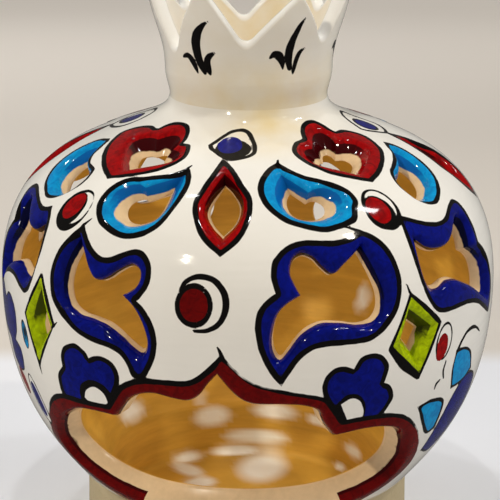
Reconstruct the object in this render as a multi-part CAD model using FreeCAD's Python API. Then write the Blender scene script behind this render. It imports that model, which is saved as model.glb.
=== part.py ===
import FreeCAD, Part
import os
from math import sin, cos, tan, radians
from FreeCAD import Vector

# Pierced earthenware candle lantern in the shape of a pomegranate.
# Millimetres. +Z is up, the table is z = 0, the pot's axis is Z and the large opening faces -Y.

# Main sizes
globe_r = 95.0            # radius of the globe at its widest ring
wall_t = 7.0              # thrown wall at that ring
mid_z = 105.0             # height of that ring above the table
foot_r = 63.6             # outside of the straight bare-clay foot
foot_h = 29.0             # height at which the globe starts
foot_wall = 9.6           # wall of the foot
foot_step = 2.3           # the globe starts this far outside the foot
floor_t = 5.0             # floor the candle stands on
rest_ring_w = 13.6        # width of the ring it rests on; the underside is turned hollow inside it
rest_hollow = 1.5
bevel = 1.5               # softened edges of that ring
heel = 2.5                # slope between floor and wall inside
shoulder_r = 47.1         # the shoulder turns up into the neck here
shoulder_dz = 58.9        # heights with dz are above the widest ring
joint_dz = 70.0           # the collar is luted on here, at the neck's waist
neck_r = 31.6             # narrowest part of the neck
neck_dz = 80.9
neck_wall = 6.2
crown_r = 39.4            # sepal tips
crown_dz = 114.4
crown_wall = 5.5
tip_h = 10.0              # straight end of the flare

foot_well_r = foot_r - foot_wall
foot_dz = foot_h - mid_z
flare_r = crown_r - 2.5
flare_dz = crown_dz - tip_h

# Outside and inside of the wall as (radius, height above the widest ring), with curve handles
out_low = [(foot_r + foot_step, foot_dz), (foot_r + 14.8, foot_dz + 15.2), (globe_r, -42.5), (globe_r, 0.0)]
out_high = [(globe_r, 0.0), (globe_r, 36.9), (globe_r - 19.8, 49.3), (shoulder_r, shoulder_dz)]
out_neck = [(shoulder_r, shoulder_dz), (shoulder_r - 25.0, shoulder_dz + 8.4), (neck_r, neck_dz - 9.7),
            (neck_r, neck_dz)]
out_flare = [(neck_r, neck_dz), (neck_r, neck_dz + 9.8), (crown_r - 4.4, crown_dz - 17.8), (flare_r, flare_dz)]
out_tip = (crown_r, crown_dz)
bore_r = neck_r - neck_wall
in_r = globe_r - wall_t
in_low = [(foot_well_r, foot_dz), (foot_well_r + 15.0, foot_dz + 16.5), (in_r, -41.0), (in_r, 0.0)]
in_high = [(in_r, 0.0), (in_r, 33.0), (in_r - 17.0, 43.9), (shoulder_r - 2.1, shoulder_dz - 6.2)]
in_neck = [in_high[3], (shoulder_r - 22.9, shoulder_dz + 0.9), (bore_r, neck_dz - 13.9),
           (bore_r, neck_dz - 2.9)]
in_flare = [in_neck[3], (bore_r, neck_dz + 7.1), (crown_r - 10.1, crown_dz - 19.4),
            (flare_r - crown_wall, flare_dz)]
in_tip = (crown_r - crown_wall, crown_dz)

# Crown: six V notches, each (direction in degrees, depth below the tips, half angle of the V)
notches = [(0, 20.1, 41), (60, 21.6, 40), (120, 20.9, 40), (180, 20.1, 41), (240, 21.4, 40), (300, 27.6, 34)]
notch_round = 4.0
notch_start = 12.0        # each cut starts this far from the axis, inside the bore

# Standard tealight
light_r = 19.0            # radius of the cup at its rim
light_base_r = 17.8
light_h = 11.0
cup_t = 0.4
rim_roll = 0.6            # radius of the rolled rim
wax_gap = 0.4             # the cold wax shrinks from the cup
wax_top = 9.8
wick_r = 0.8
wick_h = 15.0
tin_r = 6.0               # wick sustainer plate
tin_t = 0.4
tin_tube_r = 1.5
tin_tube_h = 4.0
light_clear = 2.0         # it stands forward in the well, below the lip of the opening
light_y = -(foot_well_r - light_r - light_clear)

# Cut-outs as (degrees round from the front, degrees up seen from the middle of the globe);
# a third value of 1 marks a sharp corner.
opening = [(0, -4.5, 1), (2.5, -7.5), (5, -9.8), (8, -11), (14, -11.3), (19, -12), (22.3, -13.6), (24, -17),
           (26.5, -20.2, 1), (30, -20), (34, -19.8), (38, -20.8), (41.5, -23), (44.5, -26.5), (47.5, -31),
           (49, -35), (47.5, -38.5), (43, -41.2), (36, -43), (26, -44), (12, -44.5), (-6, -44.6), (-24, -44.2),
           (-37, -42.8), (-45.5, -40.4), (-49.8, -37.2), (-50, -33.5), (-48, -29.5), (-43.5, -23.8),
           (-40, -20.6), (-36, -18.5), (-31, -17.6), (-24.3, -17.3, 1), (-22.5, -14.8), (-20.5, -12.4),
           (-17.5, -10.7), (-14, -10), (-10, -10.6), (-6.5, -10.8), (-4, -9.3), (-2, -6.6)]
tulip_left = [(-37, 20.3, 1), (-34, 17), (-31.5, 13.8), (-29.2, 12), (-26.5, 13), (-23.5, 15.3), (-20.8, 16.7),
              (-18.5, 15.9), (-17.9, 14), (-19, 11.7), (-21.8, 9.8, 1), (-18.8, 7.6), (-16.7, 4.6), (-15.5, 1.2),
              (-15.7, -1.6), (-16.8, -3), (-20, -1.2), (-23, 0.9), (-26, 2.3), (-30, 2.9), (-34, 3.2),
              (-37.3, 4.6), (-39, 7.5), (-39.5, 11), (-38.8, 15.5)]
tulip_right = [(13, -3), (11.6, -1), (11.2, 2), (11.7, 5.3), (12.8, 8), (14.9, 10), (17.8, 11.6, 1), (16.6, 14),
               (15.7, 16.6), (16.6, 19.6), (19, 20.8), (21.5, 19.7), (23.4, 17.5), (25.7, 15.7), (28.4, 17.3),
               (31, 19), (33.8, 21, 1), (35.4, 17.1), (36.7, 13.5), (37.7, 9.8), (37.4, 6.3), (35.3, 4),
               (31.5, 3.6), (27.5, 4.5), (23, 5), (19.5, 4), (17, 2), (15, -0.7)]
tulip_far_left = [(-51, 20.5, 1), (-55, 18), (-58.5, 18), (-62, 20.2), (-65.5, 22.5), (-69, 22.4), (-70.2, 20.2),
                  (-68.8, 17.4), (-67, 15.5, 1), (-70, 12.5), (-72, 8.5), (-72.6, 3.5), (-71, 2.3), (-67.5, 5.6),
                  (-64, 7.8), (-60, 8.4), (-56, 7.2), (-53, 6.6), (-50.6, 8.3), (-49.4, 12), (-49.6, 16.5)]
tulip_far_right = [(48.8, 20.4, 1), (52, 17.8), (56, 16.7), (60, 16.8), (63, 18.2), (66.5, 20.5), (69.2, 21.2),
                   (71.1, 19.8), (71, 16.6), (70, 13.8, 1), (74, 11.5), (77, 8), (78, 3), (77, 0.2), (73, 2),
                   (68, 4.8), (64.5, 6.5), (60.5, 8.2), (56.8, 8.6), (53, 7.8), (50.6, 8.2), (49, 11),
                   (48.4, 15.5)]
drop_left = [(-15, 41.3, 1), (-14.4, 38.5), (-14.3, 34.5), (-14.9, 30.3), (-16.5, 27.4), (-19, 25.6),
             (-22.5, 24.3), (-26, 24), (-29.5, 24.8), (-32.5, 27), (-34.2, 30), (-33.8, 33), (-31.5, 35),
             (-28.3, 36), (-25.3, 35.3, 1), (-22, 37.2), (-18.5, 39)]
drop_right = [(17.6, 42, 1), (19.5, 40.3), (22, 38), (24.3, 35.6, 1), (27.5, 36.6), (31, 36.2), (33.3, 34.2),
              (33.5, 31.8), (31.8, 29.2), (28.8, 27.8), (25, 27.2), (21, 27.6), (17.5, 28.9), (15.2, 31),
              (14.1, 34), (14.3, 37), (15.6, 39.8)]
drop_far_left = [(-66, 43.5, 1), (-68.3, 40), (-67.7, 36), (-65, 32.3), (-61, 29.3), (-57, 27.4), (-53, 27.4),
                 (-50, 29.8), (-49, 33), (-50.5, 35.2), (-54, 36.2), (-58.5, 37.6), (-62.5, 40.8)]
drop_far_right = [(72.8, 43, 1), (73.8, 39.5), (72.8, 35.5), (69.8, 31.5), (65.5, 28.8), (61, 27.4),
                  (57.5, 28.3), (55.8, 30.8), (55.6, 33.5), (58, 35.8), (62, 37), (66.5, 38.9), (70, 41)]
flower_left = [(-38, 38.7, 1), (-34, 40.5), (-29, 42.5), (-24.5, 44.6), (-22.4, 47), (-23, 49.3), (-25.3, 50.3),
               (-27.8, 50.6, 1), (-28.4, 53), (-29.8, 55.6), (-33.5, 57), (-37.5, 56.6), (-40.5, 54.9),
               (-42.3, 53.4, 1), (-45, 53.6), (-49, 53), (-52.3, 51.3), (-53.3, 49.3), (-51.3, 47.3),
               (-47.5, 44.6), (-43, 41.7)]
flower_right = [(44.8, 38.6, 1), (40, 41), (35.5, 43), (32, 45), (30.2, 48), (31, 50.6), (33.3, 52),
                (36, 51.8, 1), (38.5, 54), (41.5, 56.6), (45, 58.2), (49, 58.6), (52, 57.6), (52.6, 55.4),
                (51, 52.5, 1), (53.5, 51.7), (57, 51.4), (60, 49.8), (60.7, 47.3), (58.5, 44.8), (54, 42.5),
                (49.5, 40.5)]
diamond_red = [(0.3, 23.2, 1), (-3.6, 27), (-5.6, 31), (-5, 35), (-3.3, 39.5), (-1.8, 42.6, 1), (1.8, 39.5),
               (4.6, 35.4), (5.4, 31.6), (4, 27.3)]
diamond_green_left = [(-46, 7, 1), (-42, -1.5, 1), (-47.5, -8, 1), (-50, -1, 1)]
diamond_green_right = [(43.5, 5.8, 1), (50.5, 0.5, 1), (46.3, -7.5, 1), (40.8, -1.3, 1)]

front_set = [tulip_left, tulip_right, tulip_far_left, tulip_far_right, drop_left, drop_right, drop_far_left,
             drop_far_right, flower_left, flower_right, diamond_red, diamond_green_left, diamond_green_right]
side_turns = (-86.0, 91.0)    # the red diamond comes again at each side


def turned(outline, degrees):
    """The same outline further round the globe."""
    return [(p[0] + degrees,) + tuple(p[1:]) for p in outline]


def look(round_deg, up_deg):
    """Direction from the middle of the globe."""
    a = radians(round_deg)
    b = radians(up_deg)
    return Vector(cos(b) * sin(a), -cos(b) * cos(a), sin(b))


def outline_wire(points, corners):
    """Closed outline: smooth curves between the sharp corners."""
    n = len(points)
    marks = [i for i in range(n) if corners[i]]
    edges = []
    for k, start in enumerate(marks):
        stop = marks[(k + 1) % len(marks)]
        span = (stop - start) % n or n
        run = [points[(start + j) % n] for j in range(span + 1)]
        if len(run) == 2:
            edges.append(Part.makeLine(run[0], run[1]))
        else:
            curve = Part.BSplineCurve()
            curve.interpolate(run)
            edges.append(curve.toShape())
    return Part.Wire(edges)


def ring_wire(points):
    """Closed outline with no sharp corner."""
    curve = Part.BSplineCurve()
    curve.interpolate(Points=points, PeriodicFlag=True)
    return Part.Wire([curve.toShape()])


def cut_out(outline):
    """Knife-cut hole whose sides point at the middle of the globe."""
    rays = [look(p[0], p[1]) for p in outline]
    corners = [len(p) > 2 for p in outline]
    centre = Vector(0, 0, 0)
    for r in rays:
        centre = centre + r
    centre.normalize()
    wires = []
    for reach in (0.5 * globe_r, 1.4 * globe_r):
        points = [r * (reach / r.dot(centre)) + Vector(0, 0, mid_z) for r in rays]
        wires.append(outline_wire(points, corners) if any(corners) else ring_wire(points))
    return Part.makeLoft(wires, True, True)


def curve_edge(handles):
    """Wall curve in the XZ plane."""
    curve = Part.BezierCurve()
    curve.setPoles([Vector(r, 0, mid_z + z) for r, z in handles])
    return curve.toShape()


def line(a, b):
    return Part.makeLine(Vector(a[0], 0, mid_z + a[1]), Vector(b[0], 0, mid_z + b[1]))


def turned_solid(edges):
    """Solid of revolution about the pot's axis."""
    face = Part.Face(Part.Wire(Part.__sortEdges__(edges)))
    return face.revolve(Vector(0, 0, 0), Vector(0, 0, 1), 360)


def turned_outline(points, at_y=0.0):
    """Solid of revolution of a straight-sided outline, set down at y."""
    corners = [Vector(r, 0, z) for r, z in points]
    face = Part.Face(Part.makePolygon(corners + [corners[0]]))
    solid = face.revolve(Vector(0, 0, 0), Vector(0, 0, 1), 360)
    solid.translate(Vector(0, at_y, 0))
    return solid


def notch(direction, depth, half_angle):
    """V cut with a round bottom, through one side of the collar."""
    s = sin(radians(half_angle))
    c = cos(radians(half_angle))
    tips = mid_z + crown_dz
    z0 = tips - depth
    zt = z0 + notch_round * (1 - s)
    xt = notch_round * c
    top = tips + notch_round
    xw = xt + (top - zt) * tan(radians(half_angle))
    near = -notch_start
    arc = Part.Arc(Vector(-xt, near, zt), Vector(0, near, z0), Vector(xt, near, zt)).toShape()
    sides = [Part.makeLine(Vector(xt, near, zt), Vector(xw, near, top)),
             Part.makeLine(Vector(xw, near, top), Vector(-xw, near, top)),
             Part.makeLine(Vector(-xw, near, top), Vector(-xt, near, zt))]
    solid = Part.Face(Part.Wire([arc] + sides)).extrude(Vector(0, -crown_r, 0))
    solid.rotate(Vector(0, 0, 0), Vector(0, 0, 1), direction)
    return solid


def slab(low, high):
    """Block wider than the pot between two heights."""
    side = 4 * globe_r
    return Part.makeBox(side, side, high - low, Vector(-side / 2, -side / 2, low))


# Thrown wall from the foot joint to the crown
wall = turned_solid([curve_edge(out_low), curve_edge(out_high), curve_edge(out_neck), curve_edge(out_flare),
                     line(out_flare[3], out_tip), line(out_tip, in_tip), line(in_tip, in_flare[3]),
                     curve_edge(in_flare), curve_edge(in_neck), curve_edge(in_high), curve_edge(in_low),
                     line(in_low[0], out_low[0])])
joint_z = mid_z + joint_dz
top_z = mid_z + crown_dz

# Globe with its cut-outs
cutters = [cut_out(opening)]
for shape in front_set:
    cutters.append(cut_out(shape))
    cutters.append(cut_out(turned(shape, 180.0)))
for turn in side_turns:
    cutters.append(cut_out(turned(diamond_red, turn)))
globe = wall.common(slab(0, joint_z))
for tool in cutters:
    globe = globe.cut(tool)

# A closed globe is thrown as two bowls, luted rim to rim at the widest ring
lower_bowl = globe.common(slab(0, mid_z))
upper_bowl = globe.common(slab(mid_z, joint_z))

# Collar with the six-pointed crown
collar = wall.common(slab(joint_z, top_z))
for direction, depth, half_angle in notches:
    collar = collar.cut(notch(direction, depth, half_angle))

# Foot and floor in one, turned on the wheel
rest_ring_r = foot_r - rest_ring_w
foot = turned_outline([(0, rest_hollow), (rest_ring_r - bevel, rest_hollow), (rest_ring_r, 0),
                       (foot_r - bevel, 0), (foot_r, bevel), (foot_r, foot_h), (foot_well_r, foot_h),
                       (foot_well_r, floor_t + heel), (foot_well_r - heel, floor_t), (0, floor_t)])

# Tealight: pressed cup, wax, wick and the tin plate that holds the wick
z0 = floor_t
slope = (light_r - light_base_r) / light_h
cup = turned_outline([(0, z0), (light_base_r, z0), (light_r, z0 + light_h), (light_r - cup_t, z0 + light_h),
                      (light_base_r - cup_t, z0 + cup_t), (0, z0 + cup_t)], light_y)
bead = Part.makeTorus(light_r - rim_roll + 0.1, rim_roll, Vector(0, light_y, z0 + light_h - rim_roll))
cup = cup.fuse(bead).removeSplitter()

wax_r0 = light_base_r - cup_t - wax_gap
wax_r1 = wax_r0 + slope * (wax_top - cup_t)
wax_z0 = z0 + cup_t
wax_z1 = z0 + wax_top - 1.2
rim_clear = light_r - 2 * rim_roll - wax_gap
wax = turned_outline([(0, wax_z0), (wax_r0, wax_z0), (min(wax_r1, rim_clear), wax_z1), (0, wax_z1)], light_y)
tin = Part.makeCylinder(tin_r, tin_t, Vector(0, light_y, wax_z0))
tin = tin.fuse(Part.makeCylinder(tin_tube_r, tin_tube_h, Vector(0, light_y, wax_z0))).removeSplitter()
wick = Part.makeCylinder(wick_r, wick_h - cup_t, Vector(0, light_y, wax_z0))
tin = tin.cut(wick)
wax = wax.cut(tin).cut(wick)

os.makedirs("parts", exist_ok=True)
foot.exportStep("parts/foot.step")
lower_bowl.exportStep("parts/globe_lower.step")
upper_bowl.exportStep("parts/globe_upper.step")
collar.exportStep("parts/crown_collar.step")
cup.exportStep("parts/tealight_cup.step")
wax.exportStep("parts/tealight_wax.step")
tin.exportStep("parts/wick_plate.step")
wick.exportStep("parts/wick.step")
for solid in (foot, lower_bowl, upper_bowl, collar, cup, wax, tin, wick):
    print(solid.isValid(), len(solid.Solids), round(solid.Volume / 1000, 2), "cm3", solid.BoundBox)
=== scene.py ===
"""Pierced earthenware candle lantern in the form of a pomegranate, brush painted under a gloss glaze."""

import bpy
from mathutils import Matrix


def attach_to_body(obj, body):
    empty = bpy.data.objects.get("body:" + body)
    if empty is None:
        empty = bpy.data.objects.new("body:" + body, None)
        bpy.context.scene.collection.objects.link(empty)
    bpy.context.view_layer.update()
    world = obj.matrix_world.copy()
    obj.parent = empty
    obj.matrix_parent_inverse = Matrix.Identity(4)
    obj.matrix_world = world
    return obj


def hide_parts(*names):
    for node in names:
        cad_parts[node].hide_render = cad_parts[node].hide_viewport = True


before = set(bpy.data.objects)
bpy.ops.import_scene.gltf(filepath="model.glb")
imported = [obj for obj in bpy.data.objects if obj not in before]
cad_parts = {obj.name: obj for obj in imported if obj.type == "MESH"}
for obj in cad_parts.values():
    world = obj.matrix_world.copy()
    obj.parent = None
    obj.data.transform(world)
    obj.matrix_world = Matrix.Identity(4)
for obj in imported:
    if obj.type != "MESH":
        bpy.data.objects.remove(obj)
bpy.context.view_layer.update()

from copy import copy
from math import cos, pi, radians, sin

import bpy
import numpy as np
from mathutils import Matrix, Vector
from mathutils.geometry import delaunay_2d_cdt
from mathutils.kdtree import KDTree

bl_info = {
    "name": "Pierced pomegranate lantern",
    "version": (1, 0, 0),
    "blender": (4, 5, 0),
    "location": "View3D > Sidebar > Lantern",
    "description": "Builds a painted and glazed candle lantern around its packed solids",
    "category": "Add Mesh",
}

MM = 0.001

# Wall of the pot, as in its solids but for the inside near the foot, which is thicker and runs into the well:
# (radius, height above the widest ring) with curve handles, in mm.
MID_Z = 105.0
JOINT_DZ = 70.0
CROWN_DZ = 114.4
FOOT_H = 29.0
FLOOR_T = 5.0
FOOT_R = 63.6
WELL_R = 54.0
OUT_LOW = [(65.9, -76.0), (78.4, -60.8), (95.0, -42.5), (95.0, 0.0)]
OUT_HIGH = [(95.0, 0.0), (95.0, 36.9), (75.2, 49.3), (47.1, 58.9)]
OUT_NECK = [(47.1, 58.9), (22.1, 67.3), (31.6, 71.2), (31.6, 80.9)]
OUT_FLARE = [(31.6, 80.9), (31.6, 90.7), (35.0, 96.6), (36.9, 104.4)]
OUT_TIP = (39.4, CROWN_DZ)
IN_LOW = [(54.6, -76.0), (61.5, -62.0), (88.0, -44.0), (88.0, 0.0)]
IN_HIGH = [(88.0, 0.0), (88.0, 33.0), (71.0, 43.9), (45.0, 52.7)]
IN_NECK = [(45.0, 52.7), (24.2, 59.8), (25.4, 67.0), (25.4, 78.0)]
IN_FLARE = [(25.4, 78.0), (25.4, 88.0), (29.3, 95.0), (31.4, 104.4)]
IN_TIP = (33.9, CROWN_DZ)

# Crown: V notches as (degrees round, depth below the tips, half angle on each side), with a round bottom.
NOTCHES = [
    (4.7, 18.5, 33, 44), (60, 18.3, 36, 29), (127, 13, 44, 44), (190, 18.9, 44, 44), (241, 13, 44, 44),
    (309, 22.7, 21, 33)]
NOTCH_ROUND = 4.0

# Tealight, as in its solids.
LIGHT_Y = -33.0
LIGHT_R = 19.0
LIGHT_BASE_R = 17.8
LIGHT_H = 11.0

# Cut-outs and brush marks, each point chosen on the photo, as (degrees round from the front, degrees up seen
# from the middle of the globe). A third value of 1 keeps a sharp corner.
OPENING = [
    (0, -5.3, 1), (2.5, -8.5), (5, -10.9), (8, -12.1), (14, -12.4), (19, -13.1), (22.3, -14.7), (24, -18.1),
    (26.3, -21.4, 1), (30, -21.1), (34, -20.9), (39, -21.5), (43.8, -23.2), (47, -26.3), (49.6, -31),
    (51, -35.5), (50, -39.5), (45, -42.6), (36, -44.8), (26, -45.9), (12, -46.3), (-6, -46.4), (-24, -46),
    (-37, -44.4), (-46, -41.5), (-50.6, -37.6), (-50.8, -33.5), (-48.5, -29.5), (-44, -24.4), (-40, -21.6),
    (-36, -19.6), (-31, -18.7), (-24.5, -18.5, 1), (-22.5, -15.9), (-20.5, -13.5), (-17.5, -11.8),
    (-14, -11.1), (-10, -11.7), (-6.5, -11.9), (-4, -10.4), (-2, -7.6)]
TULIP_LEFT = [
    (-37, 20.3, 1), (-34, 17), (-31.5, 13.8), (-29.2, 12), (-26.5, 13), (-23.5, 15.3), (-20.8, 16.7),
    (-18.5, 15.9), (-17.9, 14), (-19, 11.7), (-21.8, 9.8, 1), (-18.8, 7.6), (-16.7, 4.6), (-15.5, 1.2),
    (-15.7, -1.6), (-16.8, -3), (-20, -1.2), (-23, 0.9), (-26, 2.3), (-30, 2.9), (-34, 3.2), (-37.3, 4.6),
    (-39, 7.5), (-39.5, 11), (-38.8, 15.5)]
TULIP_RIGHT = [
    (13, -3), (11.6, -1), (11.2, 2), (11.7, 5.3), (12.8, 8), (14.9, 10), (17.8, 11.6, 1), (16.6, 14),
    (15.7, 16.6), (16.6, 19.6), (19, 20.8), (21.5, 19.7), (23.4, 17.5), (25.7, 15.7), (28.4, 17.3),
    (31, 19), (33.8, 21, 1), (35.4, 17.1), (36.7, 13.5), (37.7, 9.8), (37.4, 6.3), (35.3, 4), (31.5, 3.6),
    (27.5, 4.5), (23, 5), (19.5, 4), (17, 2), (15, -0.7)]
TULIP_FAR_LEFT = [
    (-51, 20.5, 1), (-55, 18), (-58.5, 18), (-62, 20.2), (-65.5, 22.5), (-69, 22.4), (-70.2, 20.2),
    (-68.8, 17.4), (-67, 15.5, 1), (-70, 12.5), (-72, 8.5), (-72.6, 3.5), (-71, 2.3), (-67.5, 5.6),
    (-64, 7.8), (-60, 8.4), (-56, 7.2), (-53, 6.6), (-50.6, 8.3), (-49.4, 12), (-49.6, 16.5)]
TULIP_FAR_RIGHT = [
    (48.8, 20.4, 1), (52, 17.8), (56, 16.7), (60, 16.8), (63, 18.2), (66.5, 20.5), (69.2, 21.2),
    (71.1, 19.8), (71, 16.6), (70, 13.8, 1), (74, 11.5), (77, 8), (78, 3), (77, 0.2), (73, 2), (68, 4.8),
    (64.5, 6.5), (60.5, 8.2), (56.8, 8.6), (53, 7.8), (50.6, 8.2), (49, 11), (48.4, 15.5)]
DROP_LEFT = [
    (-15, 41.3, 1), (-14.4, 38.5), (-14.3, 34.5), (-14.9, 30.3), (-16.5, 27.4), (-19, 25.6), (-22.5, 24.3),
    (-26, 24), (-29.5, 24.8), (-32.5, 27), (-34.2, 30), (-33.8, 33), (-31.5, 35), (-28.3, 36),
    (-25.3, 35.3, 1), (-22, 37.2), (-18.5, 39)]
DROP_RIGHT = [
    (17.6, 42, 1), (19.5, 40.3), (22, 38), (24.3, 35.6, 1), (27.5, 36.6), (31, 36.2), (33.3, 34.2),
    (33.5, 31.8), (31.8, 29.2), (28.8, 27.8), (25, 27.2), (21, 27.6), (17.5, 28.9), (15.2, 31), (14.1, 34),
    (14.3, 37), (15.6, 39.8)]
DROP_FAR_LEFT = [
    (-66, 43.5, 1), (-68.3, 40), (-67.7, 36), (-65, 32.3), (-61, 29.3), (-57, 27.4), (-53, 27.4),
    (-50, 29.8), (-49, 33), (-50.5, 35.2), (-54, 36.2), (-58.5, 37.6), (-62.5, 40.8)]
DROP_FAR_RIGHT = [
    (72.8, 43, 1), (73.8, 39.5), (72.8, 35.5), (69.8, 31.5), (65.5, 28.8), (61, 27.4), (57.5, 28.3),
    (55.8, 30.8), (55.6, 33.5), (58, 35.8), (62, 37), (66.5, 38.9), (70, 41)]
FLOWER_LEFT = [
    (-38, 38.7, 1), (-34, 40.5), (-29, 42.5), (-24.5, 44.6), (-22.4, 47), (-23, 49.3), (-25.3, 50.3),
    (-27.8, 50.6, 1), (-28.4, 53), (-29.8, 55.6), (-33.5, 57), (-37.5, 56.6), (-40.5, 54.9),
    (-42.3, 53.4, 1), (-45, 53.6), (-49, 53), (-52.3, 51.3), (-53.3, 49.3), (-51.3, 47.3), (-47.5, 44.6),
    (-43, 41.7)]
FLOWER_RIGHT = [
    (44.8, 38.6, 1), (40, 41), (35.5, 43), (32, 45), (30.2, 48), (31, 50.6), (33.3, 52), (36, 51.8, 1),
    (38.5, 54), (41.5, 56.6), (45, 58.2), (49, 58.6), (52, 57.6), (52.6, 55.4), (51, 52.5, 1), (53.5, 51.7),
    (57, 51.4), (60, 49.8), (60.7, 47.3), (58.5, 44.8), (54, 42.5), (49.5, 40.5)]
DIAMOND_RED = [
    (0.3, 23.2, 1), (-3.6, 27), (-5.6, 31), (-5, 35), (-3.3, 39.5), (-1.8, 42.6, 1), (1.8, 39.5),
    (4.6, 35.4), (5.4, 31.6), (4, 27.3)]
DIAMOND_GREEN_LEFT = [(-46, 7, 1), (-42, -1.5, 1), (-47.5, -8, 1), (-50, -1, 1)]
DIAMOND_GREEN_RIGHT = [(43.5, 5.8, 1), (50.5, 0.5, 1), (46.3, -7.5, 1), (40.8, -1.3, 1)]

FRONT = (0,)
BOTH = (0, 184)
DIAMOND_TURNS = (0, -86, 91, 184)
EYE_SIDE = (-86, 89)
# Each cut-out slants in: (outline, copies, share of its size left at the inner end, mm the inner end sits
# lower, share of the wall that the brush reached).
CUT_OUTS = [
    (OPENING, FRONT, 0.95, -1.0, 0.22), (TULIP_LEFT, BOTH, 0.93, 0.0, 0.5),
    (TULIP_RIGHT, BOTH, 0.93, 0.0, 0.55), (TULIP_FAR_LEFT, BOTH, 0.82, 0.0, 0.62),
    (TULIP_FAR_RIGHT, BOTH, 0.82, 0.0, 0.5), (DROP_LEFT, BOTH, 0.57, 2.2, 0.58),
    (DROP_RIGHT, BOTH, 0.57, 2.2, 0.58), (DROP_FAR_LEFT, BOTH, 0.68, 1.8, 0.6),
    (DROP_FAR_RIGHT, BOTH, 0.68, 1.8, 0.6), (FLOWER_LEFT, BOTH, 0.54, 3.4, 0.62),
    (FLOWER_RIGHT, BOTH, 0.54, 3.4, 0.62), (DIAMOND_RED, DIAMOND_TURNS, 0.76, 0.8, 0.7),
    (DIAMOND_GREEN_LEFT, BOTH, 0.52, 0.0, 0.94), (DIAMOND_GREEN_RIGHT, BOTH, 0.52, 0.0, 0.94)]

LIP_AT = 4.0          # degrees round to the middle of the bare lip

# Painted patches of light on the inside: (x, y, z, half width round the pot, half height), in mm.
LIGHT_PATCHES = [
    (-52, 25, 33, 7, 4), (-26, 49, 31, 4, 2), (-21, 50, 23, 7, 4), (-2, 54, 13, 15, 2.5),
    (-11, 53, 6, 12, 2.5), (-31, 44, 5, 6, 3), (-29, 33, 5, 4, 8), (-22, 20, 5, 6, 5), (2, 39, 5, 9, 13),
    (6, 54, 25, 9, 3), (25, 48, 24, 4.5, 2), (41, 35, 16, 5, 2.5), (36, 41, 6, 3, 2), (42, 71, 72, 2.5, 5)]

# Outer edges of the ink lines round the painted shapes.
TULIP_LEFT_INK = [
    (-36.5, 23.2, 1), (-34, 21), (-31.7, 19), (-29, 17.5), (-27, 17.2), (-25, 17.7), (-23, 18.8),
    (-21, 19.7), (-19, 20), (-17, 19.3), (-15.3, 17.3), (-14.8, 14.9), (-15.3, 12.3), (-16.7, 10.1),
    (-17.6, 9.3, 1), (-16, 8.2), (-14, 5.6), (-13, 3), (-12.7, 0.4), (-13.2, -2.5), (-14.3, -5.1),
    (-15.7, -7.3), (-17, -7.9, 1), (-18.7, -7.3), (-19.5, -5.5), (-20.5, -3.8), (-22, -2.5), (-24.3, -1.8),
    (-27, -1.5), (-30, -1), (-33, -0.1), (-36, 1.6), (-38.7, 3.4), (-40.7, 5.6), (-41.8, 8.2),
    (-42.3, 10.8), (-42.1, 13.8), (-41, 17.1), (-39, 20.1)]
TULIP_RIGHT_INK = [
    (13.5, -7.5, 1), (11.7, -5.5), (9.7, -2.1), (8.5, 1.2), (7.9, 4.9), (8.2, 7.9), (9.3, 10.1), (11, 11.6),
    (12.2, 12.4, 1), (11.5, 14.5), (11.3, 16.4), (11.8, 19), (13.7, 21.2), (16.3, 22.7), (19.7, 23.3),
    (23.3, 23), (26.7, 22.7), (30, 23.1), (32.7, 24), (34, 24.3, 1), (36, 23.4), (38.3, 21.6), (40.3, 18.6),
    (41.3, 15.3), (41.6, 12.7), (41.2, 9.7), (40, 6.4), (38.3, 4.1), (35.7, 1.9), (32.7, 0.6), (30, 0.4),
    (26.7, 0.5), (23.7, 0.6), (20.7, 0.3), (18.3, -0.9), (16.7, -2.5), (15.3, -4.7)]
TULIP_FAR_LEFT_INK = [
    (-51.4, 24.4, 1), (-48.6, 20.6), (-47.5, 15), (-48.4, 10), (-50, 5.6), (-52.3, 3.8), (-54.5, 4.1),
    (-58.2, 5.6), (-60.9, 5.9), (-64.5, 5.3), (-68.2, 3.4), (-71.8, 0.6), (-74, -3, 1), (-74.9, 2),
    (-74.1, 7.5), (-72.7, 12.5), (-69.3, 16.3, 1), (-71.8, 19.4), (-72.7, 23.1), (-70.9, 25.3),
    (-67.3, 26.3), (-62.7, 25.3), (-58.6, 24.1), (-55, 23.4)]
TULIP_FAR_RIGHT_INK = [
    (46.1, 25.3, 1), (45.9, 20), (46.4, 13.8), (47.7, 8.8), (49.8, 5), (52.3, 3.1), (55.9, 2.5),
    (60.5, 2.4), (64.5, 2), (68.6, 0.9), (72.7, -1.3), (77.3, -3.8), (79.1, -4, 1), (80.7, 1.3),
    (79.1, 7.5), (76.4, 11.3), (73.6, 13.8, 1), (73.9, 17.5), (73.4, 22.5), (71.8, 24.7), (69.5, 25.1),
    (65.9, 24.1), (62.3, 22.5), (58.6, 22.1), (55, 22.8), (51.4, 24.1), (47.7, 25.6)]
DROP_LEFT_INK = [
    (-14.8, 43.4, 1), (-13.3, 41.9), (-12, 39.7), (-11.3, 37.5), (-11.5, 34.9), (-12.2, 32.3),
    (-13.2, 29.7), (-14.3, 27.1), (-16, 24.9), (-18.3, 23.2), (-21, 22.1), (-23.7, 21.7), (-26.7, 22.1),
    (-29.7, 23), (-32.3, 24.1), (-34.3, 25.8), (-35.8, 27.9), (-36.4, 30.1), (-36.3, 32.3), (-35.3, 34.5),
    (-33.3, 36.4), (-30.7, 37.5), (-27.7, 38), (-24.3, 39), (-21.7, 39.7), (-19.3, 40.4), (-17, 41.7)]
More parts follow.
